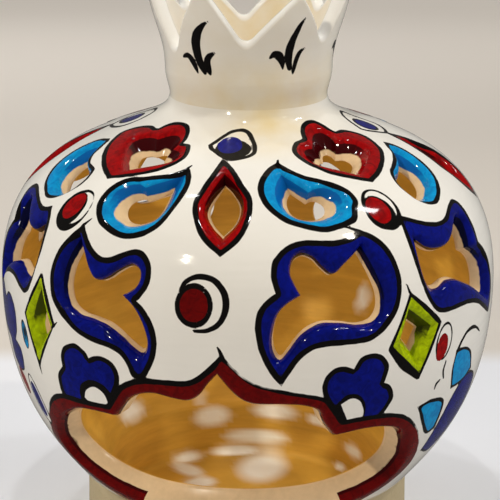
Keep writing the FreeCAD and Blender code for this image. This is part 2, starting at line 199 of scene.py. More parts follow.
DROP_RIGHT_INK = [
    (17.4, 46.3, 1), (20, 43.9), (23, 41.8), (25.5, 40.3), (29.7, 38.8), (33.4, 37), (35.7, 35.2),
    (37, 33.1), (37, 31), (35.7, 29.2), (34.3, 26.7), (31.7, 25.6), (28.3, 24.9), (25, 24.6), (21.7, 25.3),
    (19.3, 26), (16.3, 27.1), (13.7, 28.8), (11.3, 31), (9.7, 33.8), (9.2, 36.7), (9.7, 39.3), (11.3, 41.9),
    (13.3, 44), (15.7, 45.4)]
DROP_FAR_LEFT_INK = [
    (-65.5, 46.3, 1), (-70.9, 43.8), (-72.5, 39.4), (-71.8, 35), (-69.5, 31.3), (-65.5, 28.1),
    (-60.9, 26.3), (-57.3, 25.3), (-53.6, 25.9), (-50, 28.1), (-47.5, 30.6), (-46.8, 33.4), (-48.2, 36.3),
    (-51.4, 37.2), (-54.5, 37.8), (-58.2, 40), (-60.9, 43.1), (-63.2, 45.3)]
DROP_FAR_RIGHT_INK = [
    (73.9, 46.3, 1), (76.4, 44.4), (77.5, 41.3), (76.8, 37.5), (75, 33.8), (72.3, 30.6), (68.6, 28.1),
    (64.5, 26.3), (61.4, 25.8), (58.2, 26.9), (55.5, 29.4), (53.9, 32.2), (54.3, 35), (56.4, 37.5),
    (60.5, 39.1), (64.5, 40.6), (68.2, 42.2), (70.9, 44.4)]
FLOWER_LEFT_INK = [
    (-39.6, 35, 1), (-34.9, 36.4), (-29.9, 38.1), (-25.3, 40.1), (-21.6, 42.6), (-19.1, 45.2),
    (-18.3, 47.8), (-18.9, 50.2), (-20.3, 52.2), (-21.6, 53), (-25.1, 53.1, 1), (-25.1, 54.7),
    (-25.8, 56.5), (-27.4, 58.6), (-29.9, 60.3), (-32.8, 61.4), (-37, 61.9), (-41.2, 61.7), (-44.9, 61),
    (-47.6, 59.7), (-49, 58.4), (-49.5, 57.1, 1), (-51.5, 56.8), (-56, 57.1), (-61.5, 56), (-65.5, 54.1),
    (-67.6, 51.4), (-67, 49.1), (-64, 46.8), (-59.5, 43.8), (-53, 40.5), (-46.5, 37.6)]
FLOWER_RIGHT_INK = [
    (45.9, 35.5, 1), (42.2, 36.8), (38, 38.4), (33.8, 40.2), (30.5, 42.6), (27.6, 45.2), (25.9, 47.6),
    (25.3, 49.9), (26.1, 52.1), (28, 53.9), (30.1, 55.1), (33, 55.6), (34.9, 56.1, 1), (35.5, 57.6),
    (37.2, 59.7), (40.1, 61.7), (43.8, 62.8), (48, 63.2), (51.8, 63), (54.7, 61.8), (56.3, 60.2),
    (57, 58.4), (58, 56.5, 1), (62, 56.5), (64.5, 56.2), (68.5, 54.5), (70.8, 52), (70.6, 49.4),
    (68.5, 46.4), (65, 43.4), (57, 39.6), (51, 37.2)]
DIAMOND_RED_INK = [
    (0.2, 19.8, 1), (-4.5, 23.5), (-7, 27.5), (-8.5, 32), (-7.6, 36), (-6, 41), (-4.7, 45), (-3.7, 47.8, 1),
    (-1, 46), (2, 43), (4.5, 39), (7.3, 34.5), (7.6, 31.2), (7, 28.2), (5.3, 24.5), (3, 21.9)]
DIAMOND_GREEN_LEFT_INK = [(-45.5, 10.6, 1), (-39.8, -0.3, 1), (-47.3, -12.2, 1), (-52.4, -0.6, 1)]
DIAMOND_GREEN_RIGHT_INK = [(43.5, 9.6, 1), (52.9, 0.9, 1), (46.9, -10.8, 1), (37.5, -1.8, 1)]
OPENING_INK = [
    (-25.5, -44.5, 1), (-31.5, -49.4), (-38, -48.5), (-48.5, -45.4), (-56, -40.8), (-57, -34.8), (-53, -29),
    (-49, -23.5), (-45, -18.8), (-40, -16.3), (-33, -15.8), (-26, -15.3, 1), (-25, -14), (-22, -10),
    (-17, -7.5), (-11, -7), (-6, -6.6), (-2.4, -4), (1, -0.3, 1), (3.6, -3.4), (8, -6.8), (15, -8.8),
    (22, -10.5), (24.5, -12), (28, -17, 1), (33, -16.8), (40.5, -17.6), (46.5, -20.4), (52, -26.3),
    (56, -33), (56.8, -38.4), (53, -43.3), (46.5, -46.4), (40, -48.7), (35.3, -44.5, 1)]
EYE_INK = [
    (-12.7, 53.5, 1), (-8.5, 58), (-4, 60.8), (2.5, 61.8), (7, 60.8), (9.2, 58), (10.5, 54), (9.8, 50.5),
    (7, 48.5), (3, 47.3), (-1, 46.8), (-4, 47.8), (-8, 50), (-11, 51.7)]
BLOSSOM_LEFT_INK = [
    (-33, -17.4), (-38.4, -18, 1), (-39.8, -16), (-40.2, -14.2), (-40, -11.5), (-38.1, -9.2, 1),
    (-38.2, -6.5), (-36.9, -4.2), (-33.8, -2.8), (-30.8, -3.8), (-29.6, -5.3, 1), (-27.7, -4.3),
    (-25.4, -4.2), (-23.1, -5.3), (-21.9, -7.6), (-22.4, -10.6), (-25.6, -17, 1)]
BLOSSOM_RIGHT_INK = [
    (26.8, -17, 1), (23.6, -12.4), (22.3, -9.2), (22.7, -6.5), (24.6, -4.5), (26.9, -4.2), (29.2, -5.1, 1),
    (30.8, -2.8), (33.5, -2.2), (36.2, -3.2), (37.8, -5.7), (37.3, -8.4), (36.9, -9.5, 1), (38.8, -10.7),
    (39.8, -13.4), (38.8, -15.7), (36.6, -18.6, 1), (29, -18.6)]
BLOSSOM_LEFT_WHITE = [
    (-32.2, -15.1, 1), (-31.2, -13), (-28.8, -11.8), (-26.4, -12.8), (-25.4, -15.2, 1), (-28.5, -17.4)]
BLOSSOM_RIGHT_WHITE = [
    (26.8, -13, 1), (29, -11.9), (31.2, -12.8), (32.4, -15.5), (32.3, -18.4, 1), (29.2, -18.4, 1)]

# Side ornament below each outer tulip: leaves and a long petal round a small drop.
LEAF_UPPER = [
    (59.5, -7.5, 1), (63.5, -7.8), (67.5, -10), (70, -15, 1), (65, -16.8), (60, -17, 1), (58.8, -12)]
LEAF_LOWER = [(48, -18, 1), (53, -17.3), (58.5, -19.5), (59, -27, 1), (55.5, -27.5), (52, -24)]
PETAL_LONG = [
    (58, -33.5, 1), (59.5, -26), (62, -19.5), (66, -16), (71, -15.8), (75.5, -19), (76, -25), (72, -31.5),
    (65, -35.8)]

# Blossom low on the left side.
BLOSSOM_SIDE_INK = [
    (-57, -15.5), (-61, -17), (-64.5, -14.5), (-65, -10.5), (-68, -9.5, 1), (-71.5, -7.5), (-73.5, -3),
    (-72, 1.2), (-68.5, 2.2), (-65.6, -0.6, 1), (-63.5, 1), (-60.5, 0.8), (-58, -2.2), (-58, -6.5),
    (-59.6, -9.2, 1), (-56.6, -11)]


def oval(at_round, at_up, half_round, half_up, lean=0.0):
    """Small brushed oval."""
    lean = radians(lean)
    turn = [k * pi / 6 for k in range(12)]
    return [(at_round + half_round * cos(a) * cos(lean) - half_up * sin(a) * sin(lean),
             at_up + half_round * cos(a) * sin(lean) + half_up * sin(a) * cos(lean)) for a in turn]


# Areas in the order they are painted: (colour, width of the ink line inside its edge in mm, outline, copies).
# No ink line is 0. Ink as a colour is a solid area.
LINE = 2.2
FINE = 1.6
AREAS = [
    ("cobalt", LINE, TULIP_LEFT_INK, BOTH), ("cobalt", LINE, TULIP_RIGHT_INK, BOTH),
    ("cobalt", 1.8, TULIP_FAR_LEFT_INK, BOTH), ("cobalt", 1.8, TULIP_FAR_RIGHT_INK, BOTH),
    ("turquoise", LINE, DROP_LEFT_INK, BOTH), ("turquoise", LINE, DROP_RIGHT_INK, BOTH),
    ("turquoise", FINE, DROP_FAR_LEFT_INK, BOTH), ("turquoise", FINE, DROP_FAR_RIGHT_INK, BOTH),
    ("red", 1.8, FLOWER_LEFT_INK, BOTH), ("red", 1.8, FLOWER_RIGHT_INK, BOTH),
    ("red", 2.0, DIAMOND_RED_INK, DIAMOND_TURNS),
    ("lime", 1.3, DIAMOND_GREEN_LEFT_INK, BOTH), ("lime", 1.5, DIAMOND_GREEN_RIGHT_INK, BOTH),
    ("cobalt", 2.0, BLOSSOM_LEFT_INK, BOTH), ("cobalt", 2.0, BLOSSOM_RIGHT_INK, BOTH),
    ("ink", 0, oval(-28.6, -14.6, 4.9, 4.4), BOTH), ("ink", 0, oval(29.0, -15.4, 4.0, 4.6), BOTH),
    ("white", 0, BLOSSOM_LEFT_WHITE, BOTH), ("white", 0, BLOSSOM_RIGHT_WHITE, BOTH),
    ("maroon", LINE, OPENING_INK, FRONT),
    ("white", 1.7, EYE_INK, BOTH), ("white", 1.5, EYE_INK, EYE_SIDE),
    ("ink", 0, oval(-0.4, 52.4, 8.2, 4.4), BOTH), ("cobalt", 0, oval(-2.2, 53.9, 5.6, 3.7), BOTH),
    ("cobalt", 1.1, oval(-1.2, 53.4, 6.4, 4.0), EYE_SIDE),
    ("ink", 0, oval(-42.4, 25.6, 5.0, 5.6, -35), BOTH), ("white", 0, oval(-41.6, 26.2, 3.8, 4.3, -35), BOTH),
    ("ink", 0, oval(-43.4, 25.6, 3.9, 4.5, -35), BOTH), ("red", 0, oval(-43.3, 26.3, 2.9, 3.5, -35), BOTH),
    ("ink", 0, oval(42.8, 28.4, 5.1, 5.6, 35), BOTH), ("white", 0, oval(43.0, 29.0, 3.9, 4.4, 35), BOTH),
    ("ink", 0, oval(41.8, 27.6, 4.2, 4.5, 35), BOTH), ("red", 0, oval(41.6, 28.2, 3.2, 3.5, 35), BOTH),
    ("ink", 0, oval(-4.9, 9.6, 4.1, 4.7), BOTH), ("maroon", 0, oval(-4.9, 9.6, 3.0, 3.4), BOTH),
    ("white", 0.9, oval(54.3, -4.0, 2.9, 4.4, -12), BOTH), ("red", 0, oval(53.6, -5.2, 1.7, 2.9, -12), BOTH),
    ("turquoise", 1.1, LEAF_UPPER, BOTH), ("turquoise", FINE, LEAF_LOWER, BOTH),
    ("cobalt", 1.0, PETAL_LONG, BOTH),
    ("cobalt", 0.8, BLOSSOM_SIDE_INK, BOTH), ("red", 0, oval(-60.5, -19.5, 1.7, 3.2, 30), BOTH),
    ("white", 0.9, oval(-53, -22, 2.6, 6.4, 18), BOTH), ("cobalt", 0, oval(-53.2, -22, 1.3, 4.2, 18), BOTH),
    ("turquoise", 0.7, oval(-53, -6, 1.5, 3.4, 15), BOTH),
]

# Single brush strokes of ink: points (degrees round, degrees up, width in mm).
STROKES = [
    ([(-36.5, 22.8, 1.6), (-35.6, 23.8, 0.9), (-34.8, 24.8, 0.4)], BOTH),
    ([(17.4, 45.9, 1.4), (17.9, 47.3, 0.4)], BOTH), ([(-14.8, 43, 1.2), (-13.9, 44.2, 0.4)], BOTH),
    ([(1.1, -0.8, 1.4), (0.6, 0.4, 1.1), (0.1, 1.2, 0.5)], FRONT),
    ([(-40.2, -0.5, 1.4), (-38.9, 0.7, 0.5)], BOTH), ([(-47.3, -11.8, 1.2), (-46.9, -13.6, 0.4)], BOTH),
    ([(33.8, 24, 1.4), (31, 25.2, 0.9), (28.8, 25.5, 0.4)], BOTH),
    ([(43.4, 9.4, 1.2), (42.9, 11, 0.4)], BOTH),
    ([(37.8, -2.2, 1.4), (41.6, -6.6, 2.8), (46.4, -10.4, 1.6)], BOTH),
    ([(43.8, 8.8, 1.0), (47.8, 5.2, 2.2), (52, 1.4, 1.6)], BOTH),
    ([(-45.2, 9.6, 1.2), (-42.6, 4.6, 2.2), (-40.2, 0, 1.4)], BOTH),
    ([(-7.9, 12.8, 1.2), (-6.7, 14.5, 1.8), (-4.1, 15.6, 2.0), (-0.9, 15, 2.2), (1.3, 12.6, 2.4),
      (1.9, 9.6, 2.5), (0.7, 6.4, 2.1), (-1.8, 4.6, 1.7), (-4.7, 4.3, 1.2)], BOTH),
    ([(55.6, -9, 0.8), (55.1, -11, 1.3), (55.7, -13, 0.8)], BOTH),
    ([(54.4, -13, 0.8), (53.2, -13.8, 1.3), (52.9, -15, 0.8)], BOTH),
    ([(59.2, -10.5, 0.7), (60.2, -7.6, 1.5), (63.6, -4.5, 1.7), (68, -4.4, 1.5), (71.8, -6.6, 0.6)], BOTH),
]

# Grass tufts on the collar: strokes of (degrees round, height above the widest ring, width in mm).
TUFT_LEFT = [[(-16.8, 103.1, 0.6), (-21.2, 101.2, 2.0), (-26.2, 97.4, 3.7), (-28.4, 93.1, 4.0),
              (-27.9, 89, 3.7), (-25.8, 85.8, 3.2), (-23.5, 83.4, 1.7)],
             [(-41, 88.2, 0.9), (-36.4, 89, 2.4), (-33.2, 87.4, 2.9), (-30.8, 85, 2.3), (-29, 82.9, 0.7)],
             [(-15.5, 91.1, 0.9), (-19.4, 89.7, 2.3), (-21.4, 87.6, 3.0), (-20.8, 85, 2.7), (-19.5, 83, 0.9)]]
TUFT_RIGHT = [[(40, 104, 0.6), (37.2, 101.4, 1.7), (34.5, 97.2, 2.8), (32.8, 93.1, 3.3), (32.5, 89.7, 3.3),
               (34, 85.4, 2.2)],
              [(43.8, 92.4, 0.9), (40.2, 90.7, 2.0), (38.4, 87.7, 2.1), (37.2, 84.8, 1.7), (36.5, 83.1, 0.7)],
              [(20, 89.6, 1.0), (22.8, 90.9, 2.7), (26, 90.1, 3.3), (28.2, 87.8, 2.4), (29.2, 85.1, 0.7)]]
TUFTS = [
    (TUFT_LEFT, 0), (TUFT_RIGHT, 0), (TUFT_LEFT, -62), (TUFT_RIGHT, 58), (TUFT_LEFT, 180),
    (TUFT_RIGHT, 180)]

# Paints, each with its dark tone, laid where it pools thick and as painted shade where it lies on a wall that
# faces down.
POOLED_AND_SHADED = {"cobalt": "#02042c", "turquoise": "#0a5ca4", "red": "#360205", "maroon": "#380204",
          "lime": "#3c4406"}
PAINTS = tuple(POOLED_AND_SHADED) + ("ink",)
BARE = -20.0              # distance written where a colour is nowhere near
EDGE_GAP = 0.6            # mm outside a painted edge at which the skin has points too
SPOT_GAP = 0.45           # the same on both sides of an edge without an ink line
UNDER_INK = 0.6           # a colour runs on this far under the ink around it
FAINT = 0.3               # an ink line thinner than this fades out
ROW_STEP = 0.866          # distance between rows of even triangles, as a share of the distance along a row
CROWDED = 0.72            # background points nearer to another than this share of the spacing are left out
GUIDE_CLEAR = 0.45        # mm that points along painted edges keep from a cut-out
RING_POINTS = (288, 180)  # points round the foot's ring and the neck's ring
WALL_ROWS = 7             # rows of faces down the wall of a cut-out


def linear(code):
    """Linear colour from an sRGB hex code."""
    parts = [int(code[k:k + 2], 16) / 255 for k in (1, 3, 5)]
    return tuple(c / 12.92 if c <= 0.04045 else ((c + 0.055) / 1.055) ** 2.4 for c in parts)


def length_property(name, description, size, low, high):
    """Length that a user may change, in mm."""
    return bpy.props.FloatProperty(name=name, description=description, default=size * MM, min=low * MM,
                                   max=high * MM, unit="LENGTH")


def colour_property(name, description, code):
    """Colour that a user may change."""
    return bpy.props.FloatVectorProperty(name=name, description=description, subtype="COLOR",
                                         default=linear(code))


class LanternSizes(bpy.types.PropertyGroup):
    """Sizes of the finish that the solids leave open."""

    rim_round: length_property(
        "Rim rounding", "Radius at which the sponged edge of a cut-out turns in", 2.2, 0.5, 3)
    inner_round: length_property("Inner rounding", "Radius at the inner edge of a cut-out", 0.8, 0.2, 2)
    skin_step: length_property("Outside spacing", "Distance between points of the outer skin", 1.9, 1, 5)
    inner_step: length_property("Inside spacing", "Distance between points of the inner skin", 3.2, 1, 8)
    loop_step: length_property(
        "Edge spacing", "Distance between points along cut-outs and ink lines", 1, 0.5, 3)
    brush_wobble: length_property("Brush wobble", "How far a painted edge wanders", 0.12, 0, 1)


class LanternColours(bpy.types.PropertyGroup):
    """Colours of the clay, the glazes and the stage."""

    white: colour_property("White glaze", "Opaque tin white", "#ebe8e1")
    # cream also stands for painted warm shade on the front of the collar
    cream: colour_property(
        "Pooled glaze", "White glaze where it runs thick or thin over buff clay", "#dfca98")
    cobalt: colour_property("Cobalt blue", "Brushed cobalt", "#06127e")
    turquoise: colour_property("Turquoise", "Brushed copper turquoise", "#0a9ad4")
    red: colour_property("Red", "Brushed iron red", "#a40306")
    maroon: colour_property("Deep red", "Red laid thin over black", "#6a0404")
    lime: colour_property("Lime green", "Brushed lime green", "#b8d004")
    ink: colour_property("Black line", "Brushed manganese black", "#0b0909")
    ochre: colour_property("Honey glaze", "Clear honey glaze inside", "#c89c3e")
    # colour of the painted patches of light inside
    slip: colour_property("Pale slip", "Wipes of pale slip inside", "#f0f1e6")
    clay: colour_property("Buff clay", "Bare clay of the cuts", "#e4c69c")
    foot: colour_property("Foot clay", "Bare clay of the foot, greyed by handling", "#c1b08c")
    floor: colour_property("Floor", "Plain pale floor", "#d9d9dc")
    beyond: colour_property("Floor beyond", "Warmer floor away from the pot", "#c8c0b6")
    distance: colour_property(
        "Far floor", "Floor in the distance, paler as less light falls there", "#ece3d8")


# Wall and drawing geometry

def bezier(handles, count=90):
    """Points along one wall curve."""
    t = np.linspace(0, 1, count)[:, None]
    a, b, c, d = np.array(handles, float)
    return (1 - t) ** 3 * a + 3 * t * (1 - t) ** 2 * b + 3 * t * t * (1 - t) * c + t ** 3 * d


def wall_line(*curves):
    """One side of the wall, from the foot upwards."""
    return np.vstack([bezier(curve)[min(k, 1):] for k, curve in enumerate(curves)])


class Skin:
    """One side of the globe's wall, found by the angle up from the globe's middle."""

    def __init__(self, line):
        top = [np.interp(JOINT_DZ, line[:, 1], line[:, 0]), JOINT_DZ]
        line = np.vstack([line[line[:, 1] < JOINT_DZ], top])
        self.up = np.arctan2(line[:, 1], line[:, 0])
        self.reach = np.hypot(line[:, 0], line[:, 1])
        self.run = np.append(0, np.cumsum(np.hypot(*np.diff(line, axis=0).T)))

    def at(self, rays):
        return np.interp(np.arcsin(rays[:, 2]), self.up, self.reach)

    def run_at(self, rays):
        return np.interp(np.arcsin(rays[:, 2]), self.up, self.run)

    def ring(self, run, count, shift=0.0):
        """Evenly spaced rays round the wall at a distance along it from the foot."""
        up = np.interp(run, self.run, self.up)
        turn = (np.arange(count) + shift) * 2 * pi / count
        return np.stack([cos(up) * np.sin(turn), -cos(up) * np.cos(turn), np.full(count, sin(up))], 1)

    def radius(self, run):
        return float(np.interp(run, self.run, self.reach * np.cos(self.up)))


OUTSIDE = Skin(wall_line(OUT_LOW, OUT_HIGH, OUT_NECK))
INSIDE = Skin(wall_line(IN_LOW, IN_HIGH, IN_NECK))


def unit(rays):
    """Rays of length 1."""
    return rays / np.linalg.norm(rays, axis=1, keepdims=True)


def to_rays(marks):
    """Rays from (degrees round, degrees up)."""
    turn, up = np.radians(marks[:, 0]), np.radians(marks[:, 1])
    return np.stack([np.cos(up) * np.sin(turn), -np.cos(up) * np.cos(turn), np.sin(up)], 1)


def smooth(marks, closed=True, parts=8):
    """Smooth line through given marks. Returns its points and the places of its sharp corners."""
    points = np.array([m[:2] for m in marks], float)
    sharp = [len(m) > 2 for m in marks]
    count = len(points)
    t = (np.arange(parts) / parts)[:, None]
    runs = []
    for k in range(count if closed else count - 1):
        a, b = points[k], points[(k + 1) % count]
        before = points[k - 1] if closed or k else a
        after = points[(k + 2) % count] if closed or k + 2 < count else b
        leave = b - a if sharp[k] else (b - before) / 2
        arrive = b - a if sharp[(k + 1) % count] else (after - a) / 2
        runs.append((2 * t ** 3 - 3 * t ** 2 + 1) * a + (t ** 3 - 2 * t ** 2 + t) * leave
                    + (3 * t ** 2 - 2 * t ** 3) * b + (t ** 3 - t ** 2) * arrive)
    if not closed:
        runs.append(points[-1:])
    return np.vstack(runs), [k * parts for k in range(count) if sharp[k]]


def spaced(rays, step, corners=()):
    """Closed line of rays, re-spaced by about step mm on the outside, corners kept."""
    ring = np.vstack([rays, rays[:1]])
    place = ring * OUTSIDE.at(ring)[:, None]
    run = np.append(0, np.cumsum(np.linalg.norm(np.diff(place, axis=0), axis=1)))
    want = np.linspace(0, run[-1], max(8, round(run[-1] / step)), endpoint=False)
    even = unit(np.stack([np.interp(want, run, ring[:, k]) for k in range(3)], 1))
    for k in corners:
        even[np.argmax(even @ rays[k])] = rays[k]
    return even


class Chart:
    """Flat sheet laid against the globe around one mark, in mm."""

    def __init__(self, rays):
        self.middle = unit(rays.mean(0, keepdims=True))[0]
        self.right = np.cross((0, 0, 1), self.middle)
        self.right /= np.linalg.norm(self.right)
        self.upward = np.cross(self.middle, self.right)
        self.reach = float(OUTSIDE.at(self.middle[None])[0])
        self.span = float((rays @ self.middle).min())

    def flat(self, rays):
        scale = 2 * self.reach / (1 + rays @ self.middle)
        return np.stack([rays @ self.right * scale, rays @ self.upward * scale], 1)

    def bent(self, points):
        q = points / self.reach
        s = (q ** 2).sum(1, keepdims=True) / 4
        return unit(((1 - s) * self.middle + q[:, :1] * self.right + q[:, 1:] * self.upward) / (1 + s))

    def true_length(self, rays):
        """How long a chart millimetre is on the wall."""
        return (1 + rays @ self.middle) / 2 * OUTSIDE.at(rays) / self.reach

    def near(self, rays, margin=12.0):
        angle = np.arccos(np.clip(self.span, -1, 1)) + margin / self.reach
        return np.flatnonzero(rays @ self.middle > cos(min(angle, 3.0)))


def crossings(points, loop):
    """True for points inside a closed line."""
    a, b = loop, np.roll(loop, -1, axis=0)
    x, y = points[:, :1], points[:, 1:]
    slope = (b[:, 0] - a[:, 0]) / np.where(a[:, 1] == b[:, 1], 1e-12, b[:, 1] - a[:, 1])
    hit = ((a[:, 1] > y) != (b[:, 1] > y)) & (x < a[:, 0] + (y - a[:, 1]) * slope)
    return hit.sum(1) % 2 == 1


def from_line(points, line, closed=True):
    """Distance to each piece of a line, and how far along the piece."""
    a = line if closed else line[:-1]
    b = np.roll(line, -1, axis=0) if closed else line[1:]
    run = b - a
    rel = points[:, None] - a[None]
    t = np.clip((rel * run).sum(2) / np.maximum((run ** 2).sum(1), 1e-12), 0, 1)
    return np.linalg.norm(rel - t[..., None] * run, axis=2), t


def inside_distance(points, loop):
    """Distance to a closed line, positive inside."""
    gap = from_line(points, loop)[0].min(1)
    return np.where(crossings(points, loop), gap, -gap)


def twice_area(loop):
    """Twice the area in a closed line, positive when it runs anticlockwise."""
    x, y = loop.T
    return (x * np.roll(y, -1) - y * np.roll(x, -1)).sum()


class Mark:
    """One area or cut-out at its place on the globe."""

    def __init__(self, marks, turn, step):
        self.marks = marks
        line, corners = smooth(marks)
        rays = to_rays(line + np.array([turn, 0.0]))
        self.rays = spaced(rays, step, corners)
        self.chart = Chart(self.rays)
        self.loop = self.chart.flat(self.rays)
        if twice_area(self.loop) < 0:
            self.rays, self.loop = self.rays[::-1], self.loop[::-1]

    def shrunk(self, keep, lower):
        """The same outline drawn in, for the inner end of a slanting cut."""
        inner = copy(self)
        middle = self.loop.mean(0)
        inner.loop = middle + (self.loop - middle) * keep - np.array([0, lower])
        inner.rays = self.chart.bent(inner.loop)
        edge = np.linalg.norm(np.roll(self.loop, -1, axis=0) - self.loop, axis=1).sum()
        self.slant = (1 - keep) * abs(twice_area(self.loop)) / edge
        return inner

    def depth(self, rays):
        """mm inside the mark, and the rays that are near it."""
        near = self.chart.near(rays)
        some = rays[near]
        return inside_distance(self.chart.flat(some), self.loop) * self.chart.true_length(some), near

    def offset(self, inwards):
        """Points at an even distance from the outline, those that would fold over left out."""
        along = np.roll(self.loop, -1, axis=0) - np.roll(self.loop, 1, axis=0)
        along /= np.maximum(np.linalg.norm(along, axis=1, keepdims=True), 1e-9)
        moved = self.loop + np.stack([-along[:, 1], along[:, 0]], 1) * inwards
        unfolded = 0.93       # share of the distance that a point has to keep
        kept = np.abs(inside_distance(moved, self.loop)) > unfolded * abs(inwards)
        return self.chart.bent(moved[kept])


def painted_light_patches(points):
    """Share of painted light at points inside the pot, in mm."""
    share = np.zeros(len(points))
    for x, y, z, wide, high in LIGHT_PATCHES:
        away = points - np.array([x, y, z])
        along = (away[:, 1] * x - away[:, 0] * y) / np.hypot(x, y)
        rest = np.sqrt(np.maximum((away ** 2).sum(1) - along ** 2, 0))
        share = np.maximum(share, np.clip((1.45 - np.hypot(along / wide, rest / high)) / 0.75, 0, 1))
    return share


def lay(layers, colour, area, near):
    """Paints an area over what is there."""
    for name in PAINTS:
        if name == colour:
            layers[name][near] = np.maximum(layers[name][near], area)
        elif colour != "ink":
            layers[name][near] = np.minimum(layers[name][near], -area)


def painted(rays, areas):
    """Distance in mm into each colour, for rays on the outside."""
    layers = {name: np.full(len(rays), BARE) for name in PAINTS}
    for colour, line, mark in areas:
        area, near = mark.depth(rays)
        if line:
            wide = line
            if mark.marks is OPENING_INK:       # its line thins out low on the globe
                up = np.degrees(np.arcsin(rays[near, 2]))
                side = np.degrees(np.arctan2(rays[near, 0], -rays[near, 1]))
                wide = (line * np.interp(up, (-40, -36, -25, -17), (0.0, 0.1, 0.3, 1.0))
                        * np.interp(side, (0, 2, 20, 25), (1.0, 0.5, 0.7, 1.0)))
            lay(layers, colour, area - wide / 2, near)
            lay(layers, "ink", np.minimum(area, wide - area) - FAINT * (wide < FAINT), near)
        else:
            lay(layers, colour, area, near)
            if colour in POOLED_AND_SHADED:
                spread = np.where(area > -UNDER_INK, area + UNDER_INK, BARE)
                layers[colour][near] = np.maximum(layers[colour][near], spread)
    for marks, turns in STROKES:
        for turn in turns:
            brush(layers["ink"], rays, marks, turn)
    return layers


def tapered(marks, parts):
    """Line along a brush stroke, and half its width there."""
    line = smooth([m[:2] for m in marks], closed=False, parts=parts)[0]
    place = np.linspace(0, len(marks) - 1, len(line))
    return line, np.interp(place, np.arange(len(marks)), [m[2] / 2 for m in marks])


def stroke_line(marks, turn):
    """Rays and half widths along a brush stroke."""
    line, half = tapered(marks, 6)
    return to_rays(line + np.array([turn, 0.0])), half


def beside(marks, turn, gap):
    """Rays along both sides of a brush stroke."""
    line, half = stroke_line(marks, turn)
    chart = Chart(line)
    flat = chart.flat(line)
    along = np.gradient(flat, axis=0)
    along /= np.linalg.norm(along, axis=1, keepdims=True)
    aside = np.stack([-along[:, 1], along[:, 0]], 1) * (half + gap)[:, None]
    return chart.bent(np.vstack([flat + aside, flat - aside]))


def brush(ink, rays, marks, turn):
    """Adds one tapering stroke to the ink."""
    line, half = stroke_line(marks, turn)
    chart = Chart(line)
    near = chart.near(rays, 6.0)
    gap, t = from_line(chart.flat(rays[near]), chart.flat(line), closed=False)
    value = (half[:-1] + (half[1:] - half[:-1]) * t - gap * chart.true_length(rays[near])[:, None]).max(1)
    ink[near] = np.maximum(ink[near], value)


def thinned(rays, cell):
    """Leaves out points that crowd together."""
    place = np.floor(rays * OUTSIDE.at(rays)[:, None] / cell).astype(int)
    keep = np.unique(place, axis=0, return_index=True)[1]
    return rays[np.sort(keep)]


def hole_gap(rays, holes):
    """mm from each ray to the nearest cut-out, negative in one."""
    gap = np.full(len(rays), 50.0)
    for hole in holes:
        depth, near = hole.depth(rays)
        gap[near] = np.minimum(gap[near], -depth)
    return gap


def filled(skin, special, step, ends):
    """Background points between the foot and the joint, clear of the special points."""
    tree = KDTree(len(special))
    for k, place in enumerate(special * skin.at(special)[:, None]):
        tree.insert(place, k)
    tree.balance()
    rows = np.arange(ends, skin.run[-1] - ends / 2, step * ROW_STEP)
    points = np.vstack([skin.ring(run, max(24, round(2 * pi * skin.radius(run) / step)), 0.5 * (k % 2))
                        for k, run in enumerate(rows)])
    places = points * skin.at(points)[:, None]
    return points[[tree.find(p)[2] > CROWDED * step for p in places]]


def triangles(rays, links, holes, top_ring):
    """Faces over the rays, without the cut-outs and the neck. Same points are given one number."""
    flat = rays[:, :2] / (1 + rays[:, 2:])
    _, _, faces, origin, _, _ = delaunay_2d_cdt([Vector(p) for p in flat], links, [], 0, 1e-7)
    first = np.array([o[0] for o in origin])
    same = np.arange(len(rays))
    for o in origin:
        same[o] = o[0]
    faces = first[np.array([f for f in faces if len(f) == 3])]
    centre = flat[faces].mean(1)
    keep = ~np.isin(faces, top_ring).all(1)
    for hole in holes:
        loop = hole.rays[:, :2] / (1 + hole.rays[:, 2:])
        box = ((centre > loop.min(0)) & (centre < loop.max(0))).all(1)
        box = np.flatnonzero(box & keep)
        keep[box] = ~crossings(centre[box], loop)
    return faces[keep], same


def round_in(gap, radius):
    """How far a rounded edge has turned in at a distance from it."""
    side = radius - np.clip(gap, 0, radius)
    return radius - np.sqrt(np.maximum(radius ** 2 - side ** 2, 0))


def round_links(ring):
    """Links from each point of a ring to the next."""
    return [(int(a), int(b)) for a, b in zip(ring, np.roll(ring, -1))]


def band(upper, lower):
    """Faces between two rings."""
    return np.stack([upper, np.roll(upper, -1), np.roll(lower, -1), lower], 1)


def skin_points(skin, holes, rim, offsets, guides, step, ring_counts, foot_rows):
    """Rays for one skin, the links along its edges, the numbers of its rings and of each cut-out's loop."""
    foot_count, top_count = ring_counts
    blocks = [skin.ring(run, foot_count) for run in foot_rows] + [skin.ring(skin.run[-1], top_count)]
    foot_ring = np.arange(foot_count)
    top_ring = np.arange(top_count) + foot_count * len(foot_rows)
    size = sum(len(b) for b in blocks)
    links = round_links(foot_ring) + round_links(top_ring)
    loops = []
    for hole in holes:
        loop = np.arange(len(hole.rays)) + size
        size += len(loop)
        links += round_links(loop)
        loops.append(loop)
        blocks.append(hole.rays)
    rim_points = np.vstack([hole.offset(-d) for d in offsets for hole in holes])
    blocks.append(rim_points[hole_gap(rim_points, holes) > 0.5 * min(offsets)])
    if len(guides):
        blocks.append(guides[hole_gap(guides, holes) > GUIDE_CLEAR])
    blocks.append(filled(skin, np.vstack(blocks), step, 1.4 * step))
    last = blocks[-1]
    blocks[-1] = last[hole_gap(last, holes) > 0.4 * rim]
    return np.vstack(blocks), links, foot_ring, top_ring, loops


